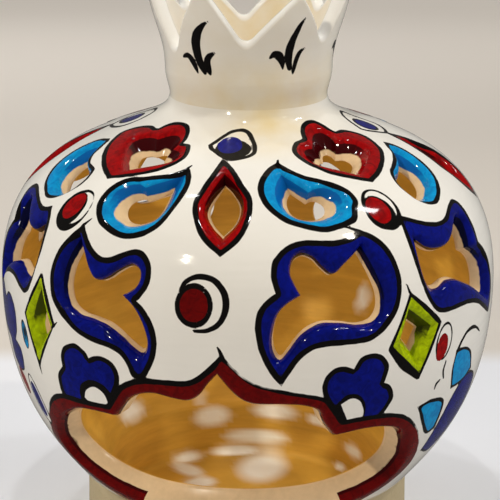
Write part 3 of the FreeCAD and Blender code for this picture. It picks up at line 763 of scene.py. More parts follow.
def shell(sizes):
    """Points, faces and finish of the pierced globe."""
    step = sizes.loop_step / MM
    rim, inner_rim = sizes.rim_round / MM, sizes.inner_round / MM
    holes = [Mark(cut[0], turn, step) for cut in CUT_OUTS for turn in cut[1]]
    slants = [cut[2:4] for cut in CUT_OUTS for _ in cut[1]]
    brushed = [cut[4] for cut in CUT_OUTS for _ in cut[1]]
    areas = [(paint, line, Mark(marks, turn, step)) for paint, line, marks, turns in AREAS for turn in turns]

    ridges, edges = [], []
    for _, line, mark in areas:
        edges.append(mark.rays)
        if line:
            ridges.append(mark.offset(line / 2))
            edges += [mark.offset(line), mark.offset(-EDGE_GAP)]
        else:
            edges += [mark.offset(SPOT_GAP), mark.offset(-SPOT_GAP)]
    for marks, turns in STROKES:
        ridges += [stroke_line(marks, turn)[0] for turn in turns]
        edges += [beside(marks, turn, gap) for turn in turns for gap in (0.0, EDGE_GAP)]
    guides = thinned(np.vstack(ridges + edges), 0.5)

    inner_holes = [hole.shrunk(*slant) for hole, slant in zip(holes, slants)]
    out_rays, links, out_foot, out_top, out_loops = skin_points(
        OUTSIDE, holes, rim, (0.3 * rim, 0.65 * rim, rim), guides, sizes.skin_step / MM, RING_POINTS,
        (0, 0.1, 0.4, 1.0))
    out_faces, out_same = triangles(out_rays, links, holes, out_top)
    in_rays, links, in_foot, in_top, in_loops = skin_points(
        INSIDE, inner_holes, inner_rim, (0.3 * inner_rim, inner_rim), [], sizes.inner_step / MM, RING_POINTS,
        (0,))
    in_faces, in_same = triangles(in_rays, links, inner_holes, in_top)

    # in section each cut turns in round its edge and then runs straight to the inner skin
    wall = OUTSIDE.at(out_rays) - INSIDE.at(out_rays) - inner_rim
    turned_in = round_in(OUTSIDE.run_at(out_rays), 1.0)
    for hole, loop in zip(holes, out_loops):
        depth, near = hole.depth(out_rays)
        depth[np.isin(near, loop)] = 0
        past = np.clip(rim + depth, 0, rim)
        part = past / (rim + np.sqrt(rim ** 2 + (hole.slant - rim) * past))
        turned_in[near] = np.maximum(turned_in[near], wall[near] * part ** 2)
    out_reach = OUTSIDE.at(out_rays) - turned_in
    raised = round_in(hole_gap(in_rays, inner_holes), inner_rim)
    raised[np.concatenate(in_loops)] = inner_rim
    in_reach = INSIDE.at(in_rays) + raised

    rays, reach = [out_rays, in_rays], [out_reach, in_reach]
    depth = [np.zeros(len(out_rays)), np.where(raised > 0, 1.0 + 0.6 * (1 - raised / inner_rim), 1.6)]
    shade = [np.zeros(len(out_rays)), np.zeros(len(in_rays))]
    faces = [out_faces, in_faces[:, ::-1] + len(out_rays)]
    quads = []
    size = len(out_rays) + len(in_rays)
    for hole, inner, out_loop, in_loop, reached in zip(holes, inner_holes, out_loops, in_loops, brushed):
        # painted shade darkens a wall that faces down, and the brush went deeper there
        rise = hole.loop[:, 1] - hole.loop[:, 1].mean()
        upper = np.clip(0.5 + 0.8 * rise / np.abs(rise).max(), 0.1, 1)
        far = np.clip(reached * (0.7 + 0.6 * upper), 0.05, 0.97)
        # the opening's whole wall gets painted shade
        if hole.marks is OPENING:
            upper[:], far[:] = 0.9, reached
        start = rim / (rim + np.sqrt(rim * hole.slant))
        rows = [out_same[out_loop]]
        for k in range(1, WALL_ROWS):
            part = start + (1 - start) * k / WALL_ROWS
            across = part ** 2 - (1 - part) ** 2 * rim / hole.slant
            line = unit(hole.rays + (inner.rays - hole.rays) * across)
            outer = OUTSIDE.at(line)
            rows.append(np.arange(len(line)) + size)
            size += len(line)
            rays.append(line)
            reach.append(outer - (outer - INSIDE.at(line) - inner_rim) * part ** 2)
            down = k / WALL_ROWS
            depth.append(np.where(down < far, 0.7 * down / far, 0.7 + 0.3 * (down - far) / (1 - far)))
            shade.append(upper)
        rows.append(in_same[in_loop] + len(out_rays))
        quads += [band(a, b) for a, b in zip(rows, rows[1:])]
    in_foot, in_top = in_foot + len(out_rays), in_top + len(out_rays)
    quads.append(band(out_top, in_top))
    quads.append(np.stack([out_foot, in_foot, np.roll(in_foot, -1), np.roll(out_foot, -1)], 1))

    rays, reach, depth = np.vstack(rays), np.concatenate(reach), np.concatenate(depth)
    finish = painted(rays, areas)
    for name in PAINTS:
        finish[name][len(out_rays):len(out_rays) + len(in_rays)] = BARE
    finish["depth"] = depth
    finish["shade"] = np.concatenate(shade)
    around, height = np.arctan2(rays[:, 0], -rays[:, 1]), rays[:, 2] * reach
    # cream near the neck root, strongest toward the front right
    cream_share = np.clip((height - 56) / 8, 0, 1)
    finish["cream"] = cream_share * (0.1 + 0.85 * np.exp(-((around - 0.3) / 0.42) ** 2))
    lip, near = holes[0].depth(rays)
    finish["bare"] = np.zeros(len(rays))
    side = np.abs(np.degrees(around[near]) - LIP_AT)
    wide = np.interp(side, (27, 35), (5.0, 0.0))       # the brush left the lip bare in the middle
    finish["bare"][near] = (np.clip(1 + (lip + wide) / 1.2, 0, 1) * np.clip((36 - side) / 3, 0, 1)
                            * np.clip((-40 - np.degrees(np.arcsin(rays[near, 2]))) / 2, 0, 1))
    points = rays * reach[:, None] + np.array([0, 0, MID_Z])
    # painted patches of light on the inner skin
    finish["pale"] = painted_light_patches(points) * (depth > 1.1)
    return points * MM, np.vstack(faces).tolist() + np.vstack(quads).tolist(), finish


def crown_height(turn, radius):
    """Height of the crown's cut edge above the widest ring."""
    height = np.full(len(turn), CROWN_DZ)
    for at, depth, half_left, half_right in NOTCHES:
        across = radius * np.sin(turn - radians(at))
        lean = np.radians(np.where(across < 0, half_left, half_right))
        side = np.abs(across)
        flat = NOTCH_ROUND * np.cos(lean)
        low = CROWN_DZ - depth
        curve = NOTCH_ROUND - np.sqrt(np.maximum(NOTCH_ROUND ** 2 - side ** 2, 0))
        sides = NOTCH_ROUND * (1 - np.sin(lean)) + (side - flat) / np.tan(lean)
        cut = low + np.where(side < flat, curve, sides)
        height = np.where(np.cos(turn - radians(at)) > 0.3, np.minimum(height, cut), height)
    soft = np.array([1, 2, 3, 2, 1]) / 9.0
    return sum(w * np.roll(height, k - 2) for k, w in enumerate(soft))


def attach(obj, finish):
    """Writes the finish distances onto the points."""
    for name, values in finish.items():
        field = obj.data.attributes.new(name, "FLOAT", "POINT")
        field.data.foreach_set("value", np.asarray(values, np.float32))


# Materials

GLAZE = "tin_glazed_earthenware_brush_painted"
GLASS_IOR = 1.52          # of a fired glaze
GLAZE_SHEEN = 0.2         # specular level at which its glints match
THROWING = (1.0, 1.0, 7.0)  # squeezes a pattern into the rings that throwing leaves
BLEND = {"data_type": "RGBA", "out": 2}                 # mixes two colours
SOFT = {"interpolation_type": "SMOOTHSTEP"}             # eases a range at both ends


def fill(tree, node, inputs):
    """Fills a node's inputs with values or links."""
    for key, value in inputs.items():
        if isinstance(value, bpy.types.NodeSocket):
            tree.links.new(value, node.inputs[key])
        else:
            node.inputs[key].default_value = value


def add(tree, kind, inputs=None, out=0, **settings):
    """Adds one node with its settings and inputs, and gives one of its outputs."""
    node = tree.nodes.new("ShaderNode" + kind)
    for key, value in settings.items():
        setattr(node, key, value)
    fill(tree, node, inputs or {})
    return node.outputs[out]


def new_material(name):
    """Material with a bare shader, and the place on the piece that its patterns follow."""
    material = bpy.data.materials.new(name)
    material.use_nodes = True
    tree = material.node_tree
    return material, tree, tree.nodes["Principled BSDF"], add(tree, "TexCoord", out="Object")


def rgba(colour, shade=1.0):
    """Colour for a socket, made lighter or darker."""
    return tuple(min(1.0, c * shade) for c in colour) + (1.0,)


def per_mm(size):
    """Noise scale for a pattern of this size."""
    return 1.0 / (size * MM)


def honey_over_clay(tree, rings, colours):
    """Colour of the honey glaze: throwing streaks, and painted patches of light."""
    ripple = add(tree, "TexNoise", {"Vector": rings, "Scale": per_mm(34), "Detail": 5.0, "Roughness": 0.6})
    streaks = add(tree, "MapRange", {"Value": ripple, "From Min": 0.3, "From Max": 0.7})
    honey = add(tree, "Mix", {0: streaks, 6: rgba(colours.ochre, 1.12), 7: rgba(colours.ochre, 0.8)}, **BLEND)
    pale = add(tree, "Attribute", out="Fac", attribute_name="pale")
    light_share = add(tree, "Math", {0: pale, 1: 0.97}, operation="MULTIPLY")
    return add(tree, "Mix", {0: light_share, 6: honey, 7: rgba(colours.slip)}, **BLEND), ripple


def painted_glaze(colours, sizes):
    """Tin-glazed earthenware, brush painted and gloss fired: opaque soft white, colours that thin at the
    brush's edge and deepen where they pool, painted shade on cut walls that face down, cream with painted
    warm shade on the collar's front, a clear gloss with faint throwing ripples; honey glaze inside with
    painted patches of light."""
    material, tree, shader, place = new_material(GLAZE)
    depth, cream, bare, shade, ink = [add(tree, "Attribute", out="Fac", attribute_name=name)
                                      for name in ("depth", "cream", "bare", "shade", "ink")]

    # white glaze: soft clouds, and cream where the cream attribute lies: glaze pooled low on the collar,
    # painted warm shade on the collar's front
    cloud = add(tree, "TexNoise", {"Vector": place, "Scale": per_mm(38), "Detail": 3.0, "Roughness": 0.5})
    white = add(tree, "Mix", {0: cloud, 6: rgba(colours.white, 1.04), 7: rgba(colours.white, 0.93)}, **BLEND)
    speck = add(tree, "TexNoise", {"Vector": place, "Scale": per_mm(9), "Detail": 4.0})
    veil = add(tree, "MapRange", {"Value": speck, "From Min": 0.35, "From Max": 0.75, "To Min": 0.55,
                                  "To Max": 1.0})
    cream_share = add(tree, "Math", {0: cream, 1: veil}, operation="MULTIPLY", use_clamp=True)
    coat = add(tree, "Mix", {0: cream_share, 6: white, 7: rgba(colours.cream)}, **BLEND)

    # buff clay on the cut, under the paint
    ragged = add(tree, "TexNoise", {"Vector": place, "Scale": per_mm(6), "Detail": 2.0})
    sunk = add(tree, "Math", {0: ragged, 1: 0.3, 2: depth}, operation="MULTIPLY_ADD")
    grain = add(tree, "TexNoise", {"Vector": place, "Scale": per_mm(2.5), "Detail": 5.0})
    buff = add(tree, "Mix", {0: grain, 6: rgba(colours.clay, 1.12), 7: rgba(colours.clay, 0.86)}, **BLEND)
    open_clay = add(tree, "Math", {0: sunk, 1: bare}, operation="ADD")
    cut = add(tree, "MapRange", {"Value": open_clay, "From Min": 0.28, "From Max": 0.42}, **SOFT)
    coat = add(tree, "Mix", {0: cut, 6: coat, 7: buff}, **BLEND)

    # the hand's wobble at painted edges, and streaks left by the brush
    hand = add(tree, "TexNoise", {"Vector": place, "Scale": per_mm(5), "Detail": 2.0})
    sway = sizes.brush_wobble / MM
    wobble = add(tree, "MapRange", {"Value": hand, "From Min": 0.3, "From Max": 0.7, "To Min": -sway,
                                    "To Max": sway})
    streak = add(tree, "TexNoise", {"Vector": place, "Scale": per_mm(3.2), "Detail": 4.0, "Distortion": 1.2})

    # each paint, deeper where it pools thick, and darker with painted shade where it lies on a wall that
    # faces down
    deep = add(tree, "MapRange", {"Value": shade, "From Min": 0.1, "From Max": 0.75}, **SOFT)
    thick = add(tree, "MapRange", {"Value": streak, "From Min": 0.3, "From Max": 0.72, "To Min": 0.0,
                                   "To Max": 0.65})
    pooled_and_shaded = add(tree, "Math", {0: thick, 1: deep}, operation="ADD", use_clamp=True)
    down = add(tree, "MapRange", {"Value": sunk, "From Min": 0.89, "From Max": 0.81}, **SOFT)
    for name, dark in POOLED_AND_SHADED.items():
        area = add(tree, "Attribute", out="Fac", attribute_name=name)
        edge = add(tree, "Math", {0: area, 1: wobble}, operation="ADD")
        cover = add(tree, "MapRange", {"Value": edge, "From Min": -0.12, "From Max": 0.12}, **SOFT)
        share = add(tree, "Math", {0: cover, 1: down}, operation="MULTIPLY")
        body = add(tree, "Mix", {0: pooled_and_shaded, 6: rgba(getattr(colours, name)), 7: rgba(linear(dark))}, **BLEND)
        coat = add(tree, "Mix", {0: share, 6: coat, 7: body}, **BLEND)

    edge = add(tree, "Math", {0: ink, 1: wobble}, operation="ADD")
    line = add(tree, "MapRange", {"Value": edge, "From Min": -0.1, "From Max": 0.14}, **SOFT)
    coat = add(tree, "Mix", {0: line, 6: coat, 7: rgba(colours.ink)}, **BLEND)

    # honey glaze over throwing streaks on the inside, with painted patches of light
    rings = add(tree, "Mapping", {"Vector": place, "Scale": THROWING})
    honey = honey_over_clay(tree, rings, colours)[0]
    within = add(tree, "MapRange", {"Value": depth, "From Min": 1.1, "From Max": 1.35}, **SOFT)
    coat = add(tree, "Mix", {0: within, 6: coat, 7: honey}, **BLEND)

    dull = add(tree, "MapRange", {"Value": depth, "From Min": 0.7, "From Max": 1.3, "To Min": 0.08,
                                  "To Max": 0.5})
    wave = add(tree, "TexNoise", {"Vector": rings, "Scale": per_mm(22), "Detail": 1.0})
    peel = add(tree, "TexNoise", {"Vector": place, "Scale": per_mm(4), "Detail": 1.0})
    relief = add(tree, "Math", {0: peel, 1: 0.25, 2: wave}, operation="MULTIPLY_ADD")
    bump = add(tree, "Bump", {"Strength": 0.25, "Distance": 0.5 * MM, "Height": relief})
    fill(tree, shader, {"Base Color": coat, "Roughness": dull, "IOR": GLASS_IOR,
                        "Specular IOR Level": GLAZE_SHEEN, "Normal": bump})
    return material


def bare_clay(colours):
    """Buff earthenware, turned and left unglazed: dry and matt, with turning lines, grit and blotches."""
    material, tree, shader, place = new_material("buff_earthenware_turned_unglazed")
    blotch = add(tree, "TexNoise", {"Vector": place, "Scale": per_mm(22), "Detail": 4.0})
    tone = add(tree, "Mix", {0: blotch, 6: rgba(colours.foot, 1.12), 7: rgba(colours.foot, 0.7)}, **BLEND)
    grit = add(tree, "TexNoise", {"Vector": place, "Scale": per_mm(0.9), "Detail": 3.0})
    dots = add(tree, "MapRange", {"Value": grit, "From Min": 0.6, "From Max": 0.75, "To Max": 0.5})
    speckled = add(tree, "Mix", {0: dots, 6: tone, 7: rgba(colours.foot, 0.45)}, **BLEND)
    flat = add(tree, "Mapping", {"Vector": place, "Scale": (0.4, 0.4, 12.0)})
    lines = add(tree, "TexNoise", {"Vector": flat, "Scale": per_mm(14), "Detail": 3.0})
    relief = add(tree, "Math", {0: grit, 1: 0.4, 2: lines}, operation="MULTIPLY_ADD")
    bump = add(tree, "Bump", {"Strength": 0.5, "Distance": 0.5 * MM, "Height": relief})
    fill(tree, shader, {"Base Color": speckled, "Roughness": 0.82, "Normal": bump})
    return material


def honey_glaze(colours):
    """Clear honey glaze over buff clay, poured into the foot's well: warm, glossy, uneven in thickness, with
    painted patches of light.
    """
    material, tree, shader, place = new_material("honey_glaze_poured_over_buff_clay")
    rings = add(tree, "Mapping", {"Vector": place, "Scale": THROWING})
    honey, ripple = honey_over_clay(tree, rings, colours)
    bump = add(tree, "Bump", {"Strength": 0.25, "Distance": 0.5 * MM, "Height": ripple})
    fill(tree, shader, {"Base Color": honey, "Roughness": 0.55, "IOR": GLASS_IOR,
                        "Specular IOR Level": GLAZE_SHEEN, "Normal": bump})
    return material


def two_tones(tree, pattern, light, dark):
    """Colour that wanders between two tones."""
    return add(tree, "Mix", {0: pattern, 6: rgba(linear(light)), 7: rgba(linear(dark))}, **BLEND)


def pressed_foil():
    """Aluminium foil, deep drawn: bright, with fine vertical draw lines that smear the reflections."""
    material, tree, shader, place = new_material("aluminium_foil_deep_drawn")
    drawn = add(tree, "Mapping", {"Vector": place, "Scale": (1.0, 1.0, 0.08)})
    lines = add(tree, "TexNoise", {"Vector": drawn, "Scale": per_mm(0.8), "Detail": 2.0})
    rough = add(tree, "MapRange", {"Value": lines, "To Min": 0.22, "To Max": 0.42})
    bump = add(tree, "Bump", {"Strength": 0.2, "Distance": 0.1 * MM, "Height": lines})
    fill(tree, shader, {"Base Color": two_tones(tree, lines, "#dcdde0", "#c4c5c9"), "Metallic": 1.0,
                        "Roughness": rough, "Normal": bump})
    return material


def paraffin():
    """Paraffin wax, cast: milky, light sinks in a little, with a faint crystalline bloom."""
    material, tree, shader, place = new_material("paraffin_wax_cast")
    bloom = add(tree, "TexNoise", {"Vector": place, "Scale": per_mm(4), "Detail": 4.0})
    bump = add(tree, "Bump", {"Strength": 0.15, "Distance": 0.2 * MM, "Height": bloom})
    fill(tree, shader, {"Base Color": two_tones(tree, bloom, "#f3f0e8", "#e2ddd0"), "Roughness": 0.42,
                        "IOR": 1.44, "Subsurface Weight": 0.35, "Subsurface Radius": (1.0, 0.8, 0.6),
                        "Subsurface Scale": 2 * MM, "Normal": bump})
    return material


def tinplate():
    """Tinplate, stamped: grey, softly bright, with rolling marks."""
    material, tree, shader, place = new_material("tinplate_stamped")
    rolled = add(tree, "Mapping", {"Vector": place, "Scale": (0.1, 1.0, 1.0)})
    marks = add(tree, "TexNoise", {"Vector": rolled, "Scale": per_mm(0.5), "Detail": 2.0})
    fill(tree, shader, {"Base Color": two_tones(tree, marks, "#b9bbbd", "#9c9ea1"), "Metallic": 1.0,
                        "Roughness": 0.38})
    return material


def cotton():
    """Cotton wick, braided and waxed: off-white with dark grooves between the strands."""
    material, tree, shader, place = new_material("cotton_wick_braided_waxed")
    fibre = add(tree, "TexNoise", {"Vector": place, "Scale": per_mm(0.4), "Detail": 3.0})
    bump = add(tree, "Bump", {"Strength": 0.4, "Distance": 0.1 * MM, "Height": fibre})
    fill(tree, shader, {"Base Color": two_tones(tree, fibre, "#f0eadb", "#cbbf9f"), "Roughness": 0.7,
                        "Normal": bump})
    return material


# Modelling helpers

def mesh_object(name, points, faces):
    """Object from points and faces, in place."""
    mesh = bpy.data.meshes.new(name)
    mesh.from_pydata(points.tolist(), [], faces)
    mesh.validate()
    obj = bpy.data.objects.new(name, mesh)
    bpy.context.scene.collection.objects.link(obj)
    return obj


def pick(obj):
    """Selects one object alone."""
    bpy.ops.object.select_all(action="DESELECT")
    obj.select_set(True)
    bpy.context.view_layer.objects.active = obj


def finish_smooth(obj, degrees):
    """Smooth shading except over sharp folds."""
    pick(obj)
    bpy.ops.object.shade_smooth_by_angle(angle=radians(degrees))


def thrown(name, profile, steps, at_y=0.0):
    """Piece turned on the wheel: an outline drawn point by point and spun about the axis."""
    bpy.ops.object.select_all(action="DESELECT")
    bpy.ops.mesh.primitive_plane_add(size=MM)
    obj = bpy.context.object
    obj.name = obj.data.name = name
    bpy.ops.object.mode_set(mode="EDIT")
    bpy.ops.mesh.select_all(action="SELECT")
    bpy.ops.mesh.merge(type="CENTER")
    points = [Vector((r * MM, 0, z * MM)) for r, z in profile]
    bpy.ops.transform.translate(value=points[0])
    for a, b in zip(points, points[1:]):
        bpy.ops.mesh.extrude_region_move(TRANSFORM_OT_translate={"value": b - a})
    bpy.ops.mesh.select_all(action="SELECT")
    bpy.ops.mesh.spin(steps=steps, angle=2 * pi, center=(0, 0, 0), axis=(0, 0, 1))
    bpy.ops.mesh.select_all(action="SELECT")
    bpy.ops.mesh.remove_doubles(threshold=0.01 * MM)
    bpy.ops.mesh.normals_make_consistent(inside=False)
    bpy.ops.transform.translate(value=(0, at_y * MM, 0))
    bpy.ops.object.mode_set(mode="OBJECT")
    return obj


def glaze_for(scene):
    """The painted glaze, made once."""
    found = bpy.data.materials.get(GLAZE)
    return found or painted_glaze(scene.lantern_colours, scene.lantern_sizes)


class LANTERN_OT_globe(bpy.types.Operator):
    """Builds the pierced and painted globe"""

    bl_idname = "lantern.globe"
    bl_label = "Pierced globe"

    def execute(self, context):
        points, faces, finish = shell(context.scene.lantern_sizes)
        globe = mesh_object("globe_pierced", points, faces)
        if len(globe.data.vertices) != len(points):
            raise RuntimeError("the globe lost points")
        attach(globe, finish)
        globe.data.materials.append(glaze_for(context.scene))
        finish_smooth(globe, 50)
        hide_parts("globe_lower", "globe_upper")
        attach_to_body(globe, "lantern")
        return {"FINISHED"}


class LANTERN_OT_crown(bpy.types.Operator):
    """Builds the collar with its six-pointed crown and brushed tufts"""

    bl_idname = "lantern.crown"
    bl_label = "Crown collar"

    def execute(self, context):
        columns, outer_rows, rim_rows, inner_rows = 480, 46, 9, 22
        soft = 2.6        # rounding of the cut edge
        rows = outer_rows + rim_rows + inner_rows
        out_line = np.vstack([wall_line(OUT_NECK, OUT_FLARE), OUT_TIP])
        in_line = np.vstack([wall_line(IN_NECK, IN_FLARE), IN_TIP])
        turn = np.arange(columns) * 2 * pi / columns
        knife_out, knife_in = 37.5, 31.8      # radius of the wall's two sides where the knife cut it
        sponged = 0.2                         # wiped off the tips
        top_out = crown_height(turn, knife_out) - sponged
        top_in = np.minimum(crown_height(turn, knife_in) - sponged, top_out)
        low_out, low_in = top_out - soft, top_in - soft
        share = np.linspace(0, 1, outer_rows)[None]
        high = JOINT_DZ + (low_out[:, None] - JOINT_DZ) * share
        outer = np.stack([np.interp(high, out_line[:, 1], out_line[:, 0]), high], 2)
        share = np.linspace(1, 0, inner_rows)[None]
        high = JOINT_DZ + (low_in[:, None] - JOINT_DZ) * share
        inner = np.stack([np.interp(high, in_line[:, 1], in_line[:, 0]), high], 2)
        t = np.linspace(0, 1, rim_rows + 2)[1:-1][None, :, None]
        a, d = outer[:, -1:], inner[:, :1]
        lift = np.array([0, soft * 4 / 3])
        rim = ((1 - t) ** 3 * a + 3 * t * (1 - t) ** 2 * (a + lift) + 3 * t * t * (1 - t) * (d + lift)
               + t ** 3 * d)
        section = np.concatenate([outer, rim, inner], axis=1)

        # spun at one even height, then each column is drawn up or down to the knife cut above it
        start = section[0] + np.array([0, MID_Z])
        collar = thrown("collar_crown", start.tolist() + start[:1].tolist(), columns)
        count = len(collar.data.vertices)
        if count != columns * rows:
            raise RuntimeError("the collar lost points")
        spun = np.empty(count * 3, np.float32)
        collar.data.vertices.foreach_get("co", spun)
        spun = spun.reshape(-1, 3) / MM
        column = np.rint(np.arctan2(spun[:, 0], -spun[:, 1]) * columns / (2 * pi)).astype(int) % columns
        flat = np.stack([np.hypot(spun[:, 0], spun[:, 1]), spun[:, 2]], 1)
        row = np.abs(flat[:, None] - start[None]).sum(2).argmin(1)
        around = turn[column]
        radius, height = section[column, row].T
        points = np.stack([radius * np.sin(around), -radius * np.cos(around), height + MID_Z], 1) * MM
        collar.data.vertices.foreach_set("co", points.astype(np.float32).ravel())
        collar.data.update()

        finish = {name: np.full(count, BARE) for name in PAINTS}
        front = row < outer_rows
        for strokes, at in TUFTS:
            for marks in strokes:
                line, half = tapered(marks, 5)
                middle = radians(line[:, 0].mean() + at)
                away = np.angle(np.exp(1j * (around - middle)))
                near = np.flatnonzero(front & (np.abs(away) < 0.6))
                flat = np.stack([away[near] * radius[near], height[near]], 1)
                drawn = np.stack([(np.radians(line[:, 0] + at) - middle)
                                  * np.interp(line[:, 1], out_line[:, 1], out_line[:, 0]), line[:, 1]], 1)
                gap, t = from_line(flat, drawn, closed=False)
                value = (half[:-1] + (half[1:] - half[:-1]) * t - gap).max(1)
                finish["ink"][near] = np.maximum(finish["ink"][near], value)
        finish["depth"] = np.zeros(count)
        # cream glaze pools low on the outside, and painted warm shade adds cream toward the front; inside,
        # cream lies toward the back, and the rim stays white
        low = np.interp(height, (JOINT_DZ, JOINT_DZ + 22), (1, 0))
        painted_front_warmth = 0.3 + 0.55 * np.cos(around - 0.35)
        on_rim = row < outer_rows + rim_rows
        within = np.where(on_rim, 0.0, 0.15 - 0.6 * np.cos(around))
        finish["cream"] = np.where(front, (0.3 + 0.7 * low) * painted_front_warmth, within)
        for name in ("bare", "shade", "pale"):
            finish[name] = np.zeros(count)
        attach(collar, finish)
        collar.data.materials.append(glaze_for(context.scene))
        finish_smooth(collar, 60)
        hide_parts("crown_collar")
        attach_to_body(collar, "lantern")
        return {"FINISHED"}


class LANTERN_OT_foot(bpy.types.Operator):
    """Builds the turned foot with the floor for the candle"""

    bl_idname = "lantern.foot"
    bl_label = "Foot"

    def execute(self, context):
        colours = context.scene.lantern_colours
        profile = [(0, 1.5), (30, 1.5), (48.2, 1.5), (49.2, 1.2), (49.8, 0.5), (50.6, 0), (61.6, 0),
                   (62.7, 0.4), (63.4, 1.2), (FOOT_R, 2.4), (FOOT_R, 10), (FOOT_R - 0.15, 19),
                   (FOOT_R, FOOT_H), (WELL_R + 0.6, FOOT_H), (WELL_R + 0.25, 28), (WELL_R + 0.06, 26.8)]
        profile += [(WELL_R, z) for z in range(25, 8, -2)]
        profile += [(WELL_R, 8), (53.6, 6.5), (52.9, 5.6), (51.8, 5.1), (50.6, FLOOR_T)]
        profile += [(r, FLOOR_T) for r in range(48, -1, -3)]
        foot = thrown("foot_turned", profile, 144)
        spots = np.array([tuple(v.co) for v in foot.data.vertices]) / MM
        # painted patches of light on the foot's inside
        attach(foot, {"pale": painted_light_patches(spots)})
        foot.data.materials.append(bare_clay(colours))
        foot.data.materials.append(honey_glaze(colours))
        for face in foot.data.polygons:
            place = face.center / MM
            if place.xy.length < WELL_R + 0.5 and place.z > 0.9 * FLOOR_T:
                face.material_index = 1
        finish_smooth(foot, 40)
        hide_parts("foot")
        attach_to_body(foot, "lantern")
        return {"FINISHED"}


class LANTERN_OT_tealight(bpy.types.Operator):
    """Builds the tealight: pressed cup, wax, wick plate and wick"""

    bl_idname = "lantern.tealight"
    bl_label = "Tealight"

    def execute(self, context):
        z = FLOOR_T
        top = z + LIGHT_H
        cup = thrown("tealight_cup_pressed", [
            (0, z + 0.35), (LIGHT_BASE_R - 3.2, z + 0.35), (LIGHT_BASE_R - 2.4, z), (LIGHT_BASE_R - 0.6, z),
            (LIGHT_BASE_R, z + 0.6), (LIGHT_R - 0.15, top - 1.4), (LIGHT_R + 0.05, top - 0.9),
            (LIGHT_R + 0.05, top - 0.35), (LIGHT_R - 0.3, top), (LIGHT_R - 0.7, top - 0.1),
            (LIGHT_R - 0.75, top - 0.8), (LIGHT_BASE_R - 0.4, z + 0.75), (LIGHT_BASE_R - 0.85, z + 0.4),
            (LIGHT_BASE_R - 2.2, z + 0.4), (LIGHT_BASE_R - 3.1, z + 0.6), (0, z + 0.6)], 96, LIGHT_Y)
        cup.data.materials.append(pressed_foil())
        finish_smooth(cup, 35)
        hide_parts("tealight_cup")
        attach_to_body(cup, "cup")

        wax_top = z + 8.6
        wax = thrown("tealight_wax_cast", [
            (0, z + 0.7), (16.2, z + 0.7), (16.8, z + 1.2), (17.3, wax_top - 0.5), (17.1, wax_top),
            (15.8, wax_top - 0.25), (11, wax_top - 0.4), (6, wax_top - 0.35), (3, wax_top - 0.1),
            (1.6, wax_top - 0.5), (0, wax_top - 0.7)], 96, LIGHT_Y)
        wax.data.materials.append(paraffin())
        finish_smooth(wax, 50)
        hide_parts("tealight_wax")
        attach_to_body(wax, "candle")

        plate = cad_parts["wick_plate"]
        plate.data.materials.clear()
        plate.data.materials.append(tinplate())

        self.wick(z)
        return {"FINISHED"}

    def wick(self, z):
        """Three strands twisted together, with a blunt cut end."""
        low, high = z + 0.9, z + 15.0
        turns, radius, strand = 3.2, 0.34, 0.42
        curve = bpy.data.curves.new("wick", "CURVE")
        curve.dimensions = "3D"
        curve.bevel_depth = strand * MM
        curve.bevel_resolution = 2
        curve.use_fill_caps = True
        count = 40
        for k in range(3):
            spline = curve.splines.new("POLY")
            spline.points.add(count - 1)
            for n, point in enumerate(spline.points):
                a = 2 * pi * (turns * n / (count - 1) + k / 3)
                height = low + (high - low) * n / (count - 1)
                point.co = (radius * cos(a) * MM, (LIGHT_Y + radius * sin(a)) * MM, height * MM, 1)
        holder = bpy.data.objects.new("wick_braided", curve)
        bpy.context.scene.collection.objects.link(holder)
        pick(holder)
        bpy.ops.object.convert(target="MESH")
        wick = bpy.context.object
        wick.data.materials.append(cotton())
        finish_smooth(wick, 50)
        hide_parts("wick")
        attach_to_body(wick, "candle")


